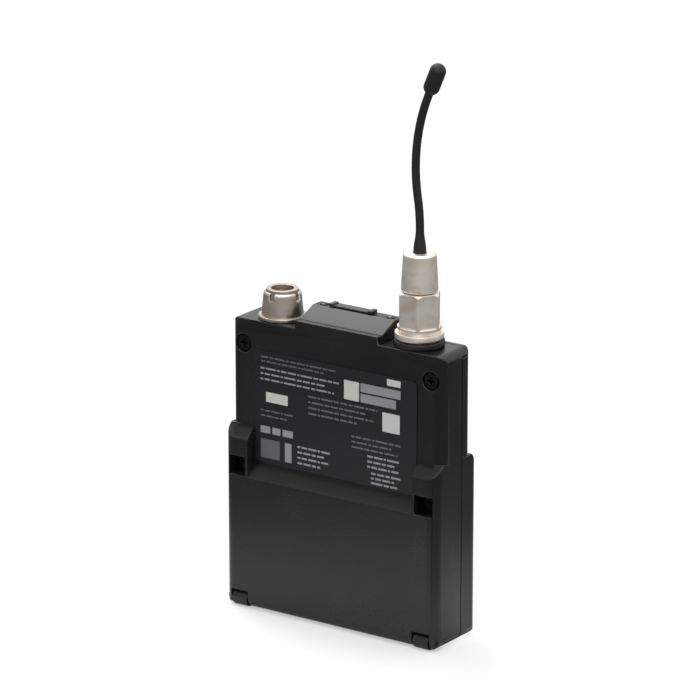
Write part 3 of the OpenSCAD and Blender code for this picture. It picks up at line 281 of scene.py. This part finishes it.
black_oxide = plain_grain("black_oxide_steel", "#2a2a2c", "#1a1a1b", 0.38, 0.4, 0.008, metallic=0.85)
antenna_rubber = plain_grain("antenna_rubber", "#1d1c1b", "#262524", 0.5, 0.4, 0.015, ior=1.45)
pad_foam = plain_grain("closed_cell_foam", "#2c2c2e", "#3c3c3f", 0.9, 0.5, 0.12)
insert_nylon = plain_grain("insert_nylon", "#d2ccc1", "#dad5cb", 0.5, 0.4, 0.01)
insulator_ptfe = plain_grain("insulator_ptfe", "#ecece8", "#e2e2dd", 0.45, 0.4, 0.006, ior=1.35)
board_mask = plain_grain("board_solder_mask", "#0d4a2a", "#125a34", 0.3, 1.5, 0.01)
component_plastic = plain_grain("component_plastic", "#1b1b1c", "#242425", 0.55, 0.4, 0.01)
ribbon_film = plain_grain("polyimide_film", "#b8752a", "#c98735", 0.3, 1.5, 0.006, ior=1.7)
liquid_crystal = plain_grain("liquid_crystal_panel", "#8b9385", "#929a8c", 0.22, 0.4, 0.002)
segment_shadow = plain_grain("liquid_crystal_segment", "#757d71", "#7a8276", 0.25, 0.4, 0.002)
mask_ink = plain_grain("window_mask_ink", "#0e0f10", "#131415", 0.5, 0.5, 0.004)
window_polycarbonate = clear_plastic("window_polycarbonate", "#e2e6e6", 0.03)
lens_smoke = clear_plastic("indicator_lens_smoke", "#4b5249", 0.08)
sleeve_right = cell_sleeve("cell_sleeve_film_right", 1.0)
sleeve_left = cell_sleeve("cell_sleeve_film_left", -1.0)
cell_steel = plain_grain("cell_end_steel", "#b4b2ac", "#a3a19b", 0.3, 0.6, 0.008, metallic=1.0)


# Ways of making pieces

def place_piece(name, bm, finishes, body, slot, *nodes):
    """Makes a finished bmesh a piece that rides on a body and stands for its CAD nodes."""
    mesh = bpy.data.meshes.new(name)
    bm.to_mesh(mesh)
    bm.free()
    for finish in finishes:
        mesh.materials.append(finish)
    mesh.shade_smooth()
    mesh.set_sharp_from_angle(angle=SMOOTH_ANGLE)
    piece = bpy.data.objects.new(name, mesh)
    bpy.context.scene.collection.objects.link(piece)
    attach(piece, body)
    if nodes:
        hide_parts(*nodes)
    return piece


def box_mm(node):
    """The lowest and highest corner of a CAD node, in millimetres."""
    low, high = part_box(node)
    return Vector(low) / MM, Vector(high) / MM


def cad_copy(node):
    """A welded copy of a CAD node, with its flat faces whole again."""
    bm = bmesh.new()
    bm.from_mesh(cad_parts[node].data)
    bmesh.ops.remove_doubles(bm, verts=bm.verts, dist=WELD)
    bmesh.ops.dissolve_limit(bm, angle_limit=FLAT_ANGLE, verts=bm.verts, edges=bm.edges)
    return bm


def edge_samples(edges, spacing):
    """Points along the edges, in a tree that finds the nearest one."""
    points = []
    for edge in edges:
        start, end = (vert.co.copy() for vert in edge.verts)
        steps = max(1, math.ceil((end - start).length / spacing))
        points += [start.lerp(end, step / steps) for step in range(steps + 1)]
    tree = kdtree.KDTree(len(points))
    for number, point in enumerate(points):
        tree.insert(point, number)
    tree.balance()
    return tree


def soften(bm, radius_mm, segments):
    """Rounds every sharp outward edge and marks the rounding as the place that wears. A corner that the
    bevel throws away from its edge goes back to it, and the piece never grows."""
    radius = radius_mm * MM
    lowest = [min(vert.co[axis] for vert in bm.verts) for axis in range(3)]
    highest = [max(vert.co[axis] for vert in bm.verts) for axis in range(3)]
    wear = bm.verts.layers.float.new("edge_wear")
    outward = [edge for edge in bm.edges if edge.is_manifold and edge.is_convex]
    sharp = [edge for edge in outward if edge.calc_face_angle() > SHARP_ANGLE]
    samples = edge_samples(sharp, radius / 2)
    made = bmesh.ops.bevel(bm, geom=sharp, offset=radius, offset_type="OFFSET", segments=segments,
                           profile=0.5, affect="EDGES", clamp_overlap=False, material=-1)
    for vert in made["verts"]:
        vert[wear] = 1.0
        nearest, _, away = samples.find(vert.co)
        if away > STRAY_REACH * radius:
            vert.co = nearest
        vert.co = [min(max(c, least), most) for c, least, most in zip(vert.co, lowest, highest)]


def cad_piece(node, finish, body, slot, radius_mm=0.0, segments=2):
    """A CAD node with smooth curves and, where a radius is given, rounded edges."""
    bm = cad_copy(node)
    if radius_mm:
        soften(bm, radius_mm, segments)
    piece = place_piece(node + "_shape", bm, [finish], body, slot, node)
    even = piece.modifiers.new("even_normals", "WEIGHTED_NORMAL")
    even.keep_sharp = True
    return piece


def edges_at(verts):
    """The edges that meet at the vertices, each once and in the same order each run."""
    return list(dict.fromkeys(edge for vert in verts for edge in vert.link_edges))


def faces_at(verts):
    """The faces that meet at the vertices, each once and in the same order each run."""
    return list(dict.fromkeys(face for vert in verts for face in vert.link_faces))


def plate(bm, low, high, corner_mm=0.0, finish=0):
    """A plate between two corners in millimetres, with its edges along Y rounded."""
    low, high = Vector(low), Vector(high)
    made = bmesh.ops.create_cube(bm, size=1.0)["verts"]
    bmesh.ops.scale(bm, vec=(high - low) * MM, verts=made)
    bmesh.ops.translate(bm, vec=(high + low) / 2 * MM, verts=made)
    for face in faces_at(made):
        face.material_index = finish
    if corner_mm:
        along = [e for e in edges_at(made) if abs(e.verts[0].co.y - e.verts[1].co.y) > WELD]
        bmesh.ops.bevel(bm, geom=along, offset=corner_mm * MM, offset_type="OFFSET", segments=CORNER_STEPS,
                        profile=0.5, affect="EDGES", material=-1)


def turned(bm, profile, foot, axis, finish_at=None):
    """Spins a profile of (height, radius) pairs in millimetres about an axis through its foot. finish_at
    gives a face's finish from the height and radius of its middle."""
    before = set(bm.verts)
    row = [bm.verts.new((radius * MM, 0.0, height * MM)) for height, radius in profile]
    edges = [bm.edges.new(pair) for pair in zip(row, row[1:])]
    bmesh.ops.spin(bm, geom=row + edges, cent=(0, 0, 0), axis=(0, 0, 1), angle=FULL_TURN, steps=TURN_STEPS,
                   use_merge=True)
    bmesh.ops.remove_doubles(bm, verts=[v for v in bm.verts if v not in before], dist=WELD)
    fresh = [v for v in bm.verts if v not in before]
    faces = faces_at(fresh)
    bmesh.ops.recalc_face_normals(bm, faces=faces)
    for face in faces:
        middle = face.calc_center_median() / MM
        face.material_index = finish_at(middle.z, middle.xy.length) if finish_at else 0
    turn = Vector(axis).to_track_quat("Z", "Y").to_matrix().to_4x4()
    bmesh.ops.transform(bm, matrix=Matrix.Translation(Vector(foot) * MM) @ turn, verts=fresh)


# Housing and controls. A piece's last numbers are its edge radius in millimetres and the steps in it.

cad_piece("rear_case", housing_abs, "body", "housing", 0.22)
cad_piece("front_case", housing_abs, "body", "housing", 0.18)
cad_piece("battery_lid", housing_abs, "lid", "housing", 0.18)
cad_piece("switch_housing", switch_abs, "body", "switch_housing", 0.3, 3)
cad_piece("power_switch", control_abs, "power_switch", "control", 0.15)
for name in ("key_minus", "key_set", "key_plus"):
    cad_piece(name, control_abs, name, "control", 0.2, 3)
for name in ("catch_left", "catch_right"):
    cad_piece(name, control_abs, name, "control", 0.12)
cad_piece("case_screws", black_oxide, "body", "screw", 0.08)

# Lips inside the side walls that lap the seam, so that no light shows through it: inner and outer side,
# bottom and top in millimetres. The lower ones are thin, because they run between the front case and the
# lid.
LIPS = ((26.75, 27.25, 43.4, 64.9), (27.07, 27.25, 33.0, 43.4))
LIP_Y = (0.9, 2.6)
LIP_CORNER = 0.06
bm = bmesh.new()
for inner, outer, bottom, top in LIPS:
    for side in (-1, 1):
        left, right = sorted((side * inner, side * outer))
        plate(bm, (left, LIP_Y[0], bottom), (right, LIP_Y[1], top), LIP_CORNER)
place_piece("seam_lips", bm, [housing_abs], "body", "housing")

# Marks on the keys: length and height of each bar in millimetres
MARK_LEN = 2.4
MARK_W = 0.5
DOT_W = MARK_W * 2
MARK_SUNK = 0.1
MARK_PROUD = 0.03
# A little more than 2, so that the rounded ends of a bar don't meet
MARK_ROUNDING = 2.1
MARKS = (("key_minus", ((MARK_LEN, MARK_W),)), ("key_set", ((DOT_W, DOT_W),)),
         ("key_plus", ((MARK_LEN, MARK_W), (MARK_W, MARK_LEN))))
for name, bars in MARKS:
    low, high = box_mm(name)
    middle = (low + high) / 2
    bm = bmesh.new()
    for length, height in bars:
        plate(bm, (middle.x - length / 2, high.y - MARK_SUNK, middle.z - height / 2),
              (middle.x + length / 2, high.y + MARK_PROUD, middle.z + height / 2),
              min(length, height) / MARK_ROUNDING)
    place_piece(name + "_mark", bm, [key_print], name, "control")

# Domed lenses of the indicators
SEAT_R = 1.15
DOME = [(0.0, 0.0), (0.0, SEAT_R), (0.95, SEAT_R), (0.95, 0.9), (2.0, 0.9), (2.12, 0.84), (2.22, 0.72),
        (2.3, 0.5), (2.34, 0.25), (2.35, 0.0)]
low, high = box_mm("indicator_lenses")
bm = bmesh.new()
for x in (low.x + SEAT_R, high.x - SEAT_R):
    turned(bm, DOME, (x, (low.y + high.y) / 2, low.z), (0, 0, 1))
place_piece("indicator_domes", bm, [lens_smoke], "body", "lens", "indicator_lenses")


# Label: a film with a plain ruled form on it, without words or signs

PALE, MID, GREY = 0, 1, 2
PRINT_T = 0.03
LABEL_CORNER = 1.0
FIELD_CORNER = 0.12
low, high = box_mm("rating_label")
face_y = low.y
bm = bmesh.new()
plate(bm, low, high, LABEL_CORNER)
place_piece("label_film", bm, [label_film], "body", "label", "rating_label")

# Fields of the form: left, bottom, right and top in millimetres, then the ink
FIELDS = ((2.4, 53.2, 6.4, 57.6, PALE), (6.8, 55.6, 17.4, 57.6, MID), (6.8, 53.2, 16.2, 55.2, MID),
          (13.8, 58.3, 17.4, 59.8, PALE), (12.6, 47.6, 17.2, 52.0, PALE), (-18.7, 48.7, -12.8, 51.0, PALE),
          (-20.2, 41.4, -17.6, 43.0, MID), (-17.0, 41.4, -14.8, 43.0, MID), (-14.2, 41.4, -11.4, 43.0, MID),
          (-20.2, 35.6, -15.0, 40.0, GREY), (-13.6, 35.6, -11.8, 40.0, MID))
# Ruled rows of the form: left, right, top, number, pitch and thickness, then the ink
ROWS = ((-20.0, 0.6, 59.2, 2, 1.0, 0.34, GREY), (-20.2, 1.0, 56.6, 3, 1.25, 0.4, MID),
        (-7.2, 11.4, 52.2, 4, 1.3, 0.42, GREY), (-20.2, -11.4, 46.8, 2, 1.2, 0.36, GREY),
        (-10.2, -1.4, 40.0, 4, 1.25, 0.46, MID), (4.4, 17.4, 45.2, 3, 1.2, 0.42, GREY),
        (8.6, 17.4, 41.4, 3, 1.2, 0.46, MID), (9.6, 17.4, 37.6, 3, 1.1, 0.46, MID))
# Share of a row's width that each of its rules takes, so that the rows end unevenly
ROW_SHARES = (1.0, 0.82, 0.94, 0.7)
# Lengths of the dashes that make up a rule, and the gap between two of them
DASHES = (1.9, 1.1, 2.7, 0.8, 1.5, 2.2, 0.6, 3.1, 1.3)
DASH_GAP = 0.34


def printed(bm, left, bottom, right, top, ink, corner_mm=0.0):
    """One patch of ink on the label film."""
    plate(bm, (left, face_y - PRINT_T, bottom), (right, face_y + PRINT_T, top), corner_mm, ink)


bm = bmesh.new()
for left, bottom, right, top, ink in FIELDS:
    printed(bm, left, bottom, right, top, ink, FIELD_CORNER)
dash = 0
for left, right, top, count, pitch, thick, ink in ROWS:
    for number in range(count):
        z = top - number * pitch
        x = left
        end = left + (right - left) * ROW_SHARES[number % len(ROW_SHARES)]
        while end - x > DASH_GAP:
            stop = min(x + DASHES[dash % len(DASHES)], end)
            printed(bm, x, z - thick, stop, z, ink)
            x = stop + DASH_GAP
            dash += 1
place_piece("label_print", bm, [pale_ink, mid_ink, grey_ink], "body", "label")


# Display: window, printed mask, panel and its resting segments

cad_piece("display_window", window_polycarbonate, "body", "window", 0.12)
cad_piece("display_panel", liquid_crystal, "body", "panel", 0.1)
MASK_HALF = (14.7, 4.9)
SIGHT_HALF = (12.6, 3.9)
# How far the two faces of the mask lie behind the window
MASK_BACK = 0.1
MASK_FRONT = 0.02
low, high = box_mm("display_window")
middle = (low + high) / 2
bm = bmesh.new()
for side in (-1, 1):
    inner, outer = sorted((side * SIGHT_HALF[1], side * MASK_HALF[1]))
    plate(bm, (-MASK_HALF[0], low.y - MASK_BACK, middle.z + inner),
          (MASK_HALF[0], low.y - MASK_FRONT, middle.z + outer))
    inner, outer = sorted((side * SIGHT_HALF[0], side * MASK_HALF[0]))
    plate(bm, (inner, low.y - MASK_BACK, middle.z - SIGHT_HALF[1]),
          (outer, low.y - MASK_FRONT, middle.z + SIGHT_HALF[1]))
place_piece("window_mask", bm, [mask_ink], "body", "window")

SEGMENT_T = 0.02
SEGMENT_W = 0.5
SEGMENT_CORNER = 0.12
SEGMENT_GAP = 0.1
DIGIT_W = 2.6
DIGIT_H = 5.0
DIGIT_PITCH = 3.7
DIGITS = 5
DIGITS_LEFT = -11.4
LEVEL_BARS = 6
LEVEL_PITCH = 0.8
LEVEL_LEFT = 8.4
LEVEL_RIGHT = 8.9
LEVEL_GROWTH = 0.4
panel_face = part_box("display_panel")[1][1] / MM


def segment(bm, left, right, bottom, top):
    """One resting segment on the front of the panel."""
    plate(bm, (left, panel_face - SEGMENT_T, bottom), (right, panel_face + SEGMENT_T, top), SEGMENT_CORNER)


bm = bmesh.new()
foot = middle.z - DIGIT_H / 2
for number in range(DIGITS):
    left = DIGITS_LEFT + number * DIGIT_PITCH
    right = left + DIGIT_W
    for level in (0.0, (DIGIT_H - SEGMENT_W) / 2, DIGIT_H - SEGMENT_W):
        segment(bm, left + SEGMENT_W, right - SEGMENT_W, foot + level, foot + level + SEGMENT_W)
    for x in (left, right - SEGMENT_W):
        segment(bm, x, x + SEGMENT_W, foot + SEGMENT_W, foot + DIGIT_H / 2 - SEGMENT_GAP)
        segment(bm, x, x + SEGMENT_W, foot + DIGIT_H / 2 + SEGMENT_GAP, foot + DIGIT_H - SEGMENT_W)
for number in range(LEVEL_BARS):
    bottom = foot + number * LEVEL_PITCH
    segment(bm, LEVEL_LEFT, LEVEL_RIGHT + LEVEL_GROWTH * number, bottom, bottom + SEGMENT_W)
place_piece("display_segments", bm, [segment_shadow], "body", "panel")


# Connectors and antenna

cad_piece("audio_nut", dull_nickel, "body", "nickel", 0.12)
cad_piece("audio_shell", dull_nickel, "body", "nickel", 0.1)
cad_piece("audio_insert", insert_nylon, "body", "insert", 0.06)
cad_piece("audio_contacts", gold_plate, "body", "gold", 0.05)
cad_piece("antenna_collar", antenna_rubber, "body", "rubber", 0.3, 3)
cad_piece("jack_nut", nickel_plate, "body", "nickel", 0.08)
cad_piece("antenna_jack", gold_plate, "body", "gold", 0.08)
cad_piece("jack_insulator", insulator_ptfe, "body", "insulator", 0.05)
cad_piece("jack_contact", gold_plate, "body", "gold", 0.05)
cad_piece("antenna_nut", nickel_plate, "antenna_nut", "nickel", 0.1)
cad_piece("antenna_ferrule", nickel_plate, "antenna", "nickel", 0.12)
cad_piece("antenna_pin", gold_plate, "antenna", "gold", 0.08)
cad_piece("antenna_tip", antenna_rubber, "antenna", "rubber")

# Whip: one smooth rod along the CAD path, with a tapered foot and two bends. A bend is its radius in
# millimetres, its angle in degrees and the side it turns to.
WHIP_R = 0.92
WHIP_FOOT_R = 1.45
WHIP_SIDES = 28
FOOT_SUNK = 2.0
FOOT_LEN = 5.2
FOOT_RINGS = 14
BENDS = ((42.0, 9.5, -1), (42.0, 32.5, 1))
BEND_STEPS = 24
TIP_GRIP = 3.0


def stretch(bm, edges, move_mm):
    """Extrudes an open ring of edges by a move in millimetres and gives the new ring and its vertices."""
    made = bmesh.ops.extrude_edge_only(bm, edges=edges)["geom"]
    verts = [part for part in made if isinstance(part, bmesh.types.BMVert)]
    bmesh.ops.translate(bm, vec=Vector(move_mm) * MM, verts=verts)
    fresh = set(verts)
    return [e for e in bm.edges if e.verts[0] in fresh and e.verts[1] in fresh], verts


low, high = box_mm("antenna_ferrule")
place = Vector(((low.x + high.x) / 2, (low.y + high.y) / 2, high.z - FOOT_SUNK))
bm = bmesh.new()
made = bmesh.ops.create_circle(bm, cap_ends=False, radius=WHIP_FOOT_R * MM, segments=WHIP_SIDES)
ring_verts = made["verts"]
bmesh.ops.translate(bm, vec=place * MM, verts=ring_verts)
ring = edges_at(ring_verts)
wide = WHIP_FOOT_R
for number, rise in enumerate([FOOT_SUNK] + [FOOT_LEN / FOOT_RINGS] * FOOT_RINGS):
    ring, ring_verts = stretch(bm, ring, (0, 0, rise))
    place.z += rise
    slim = WHIP_FOOT_R + (WHIP_R - WHIP_FOOT_R) * (1 - math.cos(math.pi * number / FOOT_RINGS)) / 2
    bmesh.ops.scale(bm, vec=(slim / wide, slim / wide, 1.0), space=Matrix.Translation(-place * MM),
                    verts=ring_verts)
    wide = slim
lean = 0.0
for bend_r, bend_deg, side in BENDS:
    centre = place + bend_r * side * Vector((math.cos(lean), 0.0, -math.sin(lean)))
    turn = side * math.radians(bend_deg)
    made = bmesh.ops.spin(bm, geom=ring, cent=centre * MM, axis=(0, 1, 0), angle=turn,
                          steps=BEND_STEPS)["geom_last"]
    ring = [part for part in made if isinstance(part, bmesh.types.BMEdge)]
    place = centre + Matrix.Rotation(turn, 3, "Y") @ (place - centre)
    lean += turn
stretch(bm, ring, Vector((math.sin(lean), 0.0, math.cos(lean))) * TIP_GRIP)
bmesh.ops.remove_doubles(bm, verts=bm.verts, dist=WELD)
bmesh.ops.holes_fill(bm, edges=bm.edges)
bmesh.ops.recalc_face_normals(bm, faces=bm.faces)
place_piece("whip_rod", bm, [antenna_rubber], "antenna", "rubber", "antenna_whip")


# Battery bay

CELL_PROFILE = [(0.0, 0.0), (0.0, 4.6), (0.12, 5.0), (0.12, 5.9), (0.0, 6.1), (0.0, 6.4), (0.18, 6.75),
                (0.55, 7.0), (49.0, 7.0), (49.35, 6.85), (49.5, 6.5), (49.5, 6.2), (49.2, 6.0), (49.2, 3.3),
                (49.4, 2.85), (50.3, 2.75), (50.5, 2.45), (50.5, 0.0)]
SLEEVE_EDGE_R = 6.15


def sleeve_or_steel(height, radius):
    """The sleeve wraps the side and both rims of a cell. The ends are steel."""
    return 0 if radius > SLEEVE_EDGE_R else 1


for node, nub_side, sleeve in (("battery_upper", 1, sleeve_right), ("battery_lower", -1, sleeve_left)):
    low, high = box_mm(node)
    flat_end = low.x if nub_side > 0 else high.x
    bm = bmesh.new()
    turned(bm, CELL_PROFILE, (flat_end, (low.y + high.y) / 2, (low.z + high.z) / 2), (nub_side, 0, 0),
           sleeve_or_steel)
    place_piece(node + "_cell", bm, [sleeve, cell_steel], "body", "cell", node)

for node in ("contact_bridge", "contact_positive", "contact_negative"):
    cad_piece(node, tinned_sheet, "body", "contact", 0.08)
cad_piece("contact_springs", spring_wire, "body", "spring")
cad_piece("hinge_pins", black_oxide, "body", "steel", 0.1)
cad_piece("lid_pad", pad_foam, "lid", "foam", 0.1)
for side in ("left", "right"):
    node = "catch_spring_" + side
    spring = cad_piece(node, spring_wire, "lid", "steel")
    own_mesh(spring)

# Pieces that keep their CAD shape
for node, finish in (("display_ribbon", ribbon_film), ("main_board", board_mask), ("rf_shield", tinned_sheet),
                     ("key_switches", component_plastic), ("switch_body", component_plastic)):
    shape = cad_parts[node]
    shape.data.materials.clear()
    shape.data.materials.append(finish)


# Floor and light

# The camera sees white paper all over. On the lid's side it is thin, so that the lid still shows when it
# swings below the foot of the part, and from below there is nothing to see of it. For the rays that the part
# mirrors and is lit by, a pool of light is painted into the paper's colour: bright close around the part and
# darker further out, as under a small lamp.
FLOOR_SIZE = 6.0
FLOOR_ROUGH = 0.9
PAPER = "#f4f4f3"
PAINTED_FALLOFF_PAPER = "#6c6c6c"
PAPER_LIFT = 0.22
THIN_SHARE = 0.15
WHOLE_Y = -0.012
THIN_Y = 0.004
BRIGHT_R = 0.045
DIM_R = 0.11
bm = bmesh.new()
bmesh.ops.create_grid(bm, x_segments=1, y_segments=1, size=FLOOR_SIZE / 2)
floor_mesh = bpy.data.meshes.new("floor")
bm.to_mesh(floor_mesh)
bm.free()
floor = bpy.data.objects.new("floor", floor_mesh)
bpy.context.scene.collection.objects.link(floor)
floor_paper, tree, shader = start_finish("floor_paper", Roughness=FLOOR_ROUGH, Emission_Color=WHITE)
place = part_place(tree)
rays = add(tree, "ShaderNodeLightPath", {})
by_camera = rays.outputs["Is Camera Ray"]
away = add(tree, "ShaderNodeVectorMath", {0: place}, operation="LENGTH")
# Painted pool of light: the paper's colour darkens from BRIGHT_R to DIM_R away from the middle
near = add(tree, "ShaderNodeMapRange", {"Value": away.outputs["Value"], "From Min": DIM_R,
                                        "From Max": BRIGHT_R}, interpolation_type="SMOOTHSTEP")
pale = add(tree, "ShaderNodeMath", {0: near.outputs["Result"], 1: by_camera}, operation="MAXIMUM")
tree.links.new(two_shades(tree, pale.outputs[0], PAINTED_FALLOFF_PAPER, PAPER), shader.inputs["Base Color"])
lift = add(tree, "ShaderNodeMath", {0: by_camera, 1: PAPER_LIFT}, operation="MULTIPLY")
tree.links.new(lift.outputs[0], shader.inputs["Emission Strength"])
ground = add(tree, "ShaderNodeNewGeometry", {})
from_above = add(tree, "ShaderNodeMath", {0: 1.0, 1: ground.outputs["Backfacing"]}, operation="SUBTRACT")
across = add(tree, "ShaderNodeSeparateXYZ", {"Vector": place})
thin = spread(tree, across.outputs["Y"], 1.0, THIN_SHARE, WHOLE_Y, THIN_Y)
share = add(tree, "ShaderNodeMix", {"Factor": by_camera, "A": 1.0, "B": thin})
cover = add(tree, "ShaderNodeMath", {0: from_above.outputs[0], 1: share.outputs["Result"]},
            operation="MULTIPLY")
clear = add(tree, "ShaderNodeBsdfTransparent", {})
sheet = add(tree, "ShaderNodeMixShader", {0: cover.outputs[0], 1: clear.outputs["BSDF"],
                                          2: shader.outputs["BSDF"]})
tree.links.new(sheet.outputs["Shader"], tree.nodes["Material Output"].inputs["Surface"])
floor_mesh.materials.append(floor_paper)

# The room that the part mirrors is bright at the right and behind it, and dim at its left front. The
# camera sees it white.
BRIGHT_SIDE = (0.5736, 0.8192, 0.0)
DIM_FACING = -0.6
BRIGHT_FACING = 0.5
DIM_LEVEL = 0.6
FILL_LEVEL = 0.4
world = bpy.data.worlds.new("studio")
bpy.context.scene.world = world
world.use_nodes = True
tree = world.node_tree
backdrop = tree.nodes["Background"]
backdrop.inputs["Color"].default_value = WHITE
rays = add(tree, "ShaderNodeLightPath", {})
heading = add(tree, "ShaderNodeTexCoord", {})
facing = add(tree, "ShaderNodeVectorMath", {0: heading.outputs["Generated"], 1: BRIGHT_SIDE},
             operation="DOT_PRODUCT")
room = add(tree, "ShaderNodeMapRange", {"Value": facing.outputs["Value"], "From Min": DIM_FACING,
                                        "From Max": BRIGHT_FACING, "To Min": DIM_LEVEL, "To Max": 1.0},
           interpolation_type="SMOOTHSTEP")
mirrored = add(tree, "ShaderNodeMix", {"Factor": rays.outputs["Is Glossy Ray"], "A": FILL_LEVEL,
                                       "B": room.outputs["Result"]})
seen = add(tree, "ShaderNodeMath", {0: rays.outputs["Is Camera Ray"], 1: rays.outputs["Is Transmission Ray"]},
           operation="MAXIMUM")
level = add(tree, "ShaderNodeMix", {"Factor": seen.outputs[0], "A": mirrored.outputs["Result"], "B": 1.0})
tree.links.new(level.outputs["Result"], backdrop.inputs["Strength"])

# Square soft lights that face the middle of the part: place and size in metres, power in watts
SOFTBOXES = (("overhead", (0.1, -0.15, 1.3), 1.0, 7.0), ("upper_left", (-0.66, 0.34, 1.0), 0.7, 6.0),
             ("front", (0.45, -0.95, 0.75), 0.8, 3.0))
for name, place, size, power in SOFTBOXES:
    lamp = bpy.data.lights.new(name, "AREA")
    lamp.size = size
    lamp.energy = power
    holder = bpy.data.objects.new(name, lamp)
    bpy.context.scene.collection.objects.link(holder)
    holder.location = place
    holder.rotation_euler = (Vector(place) - AIM).to_track_quat("Z", "Y").to_euler()

bpy.context.scene.view_settings.view_transform = "Standard"
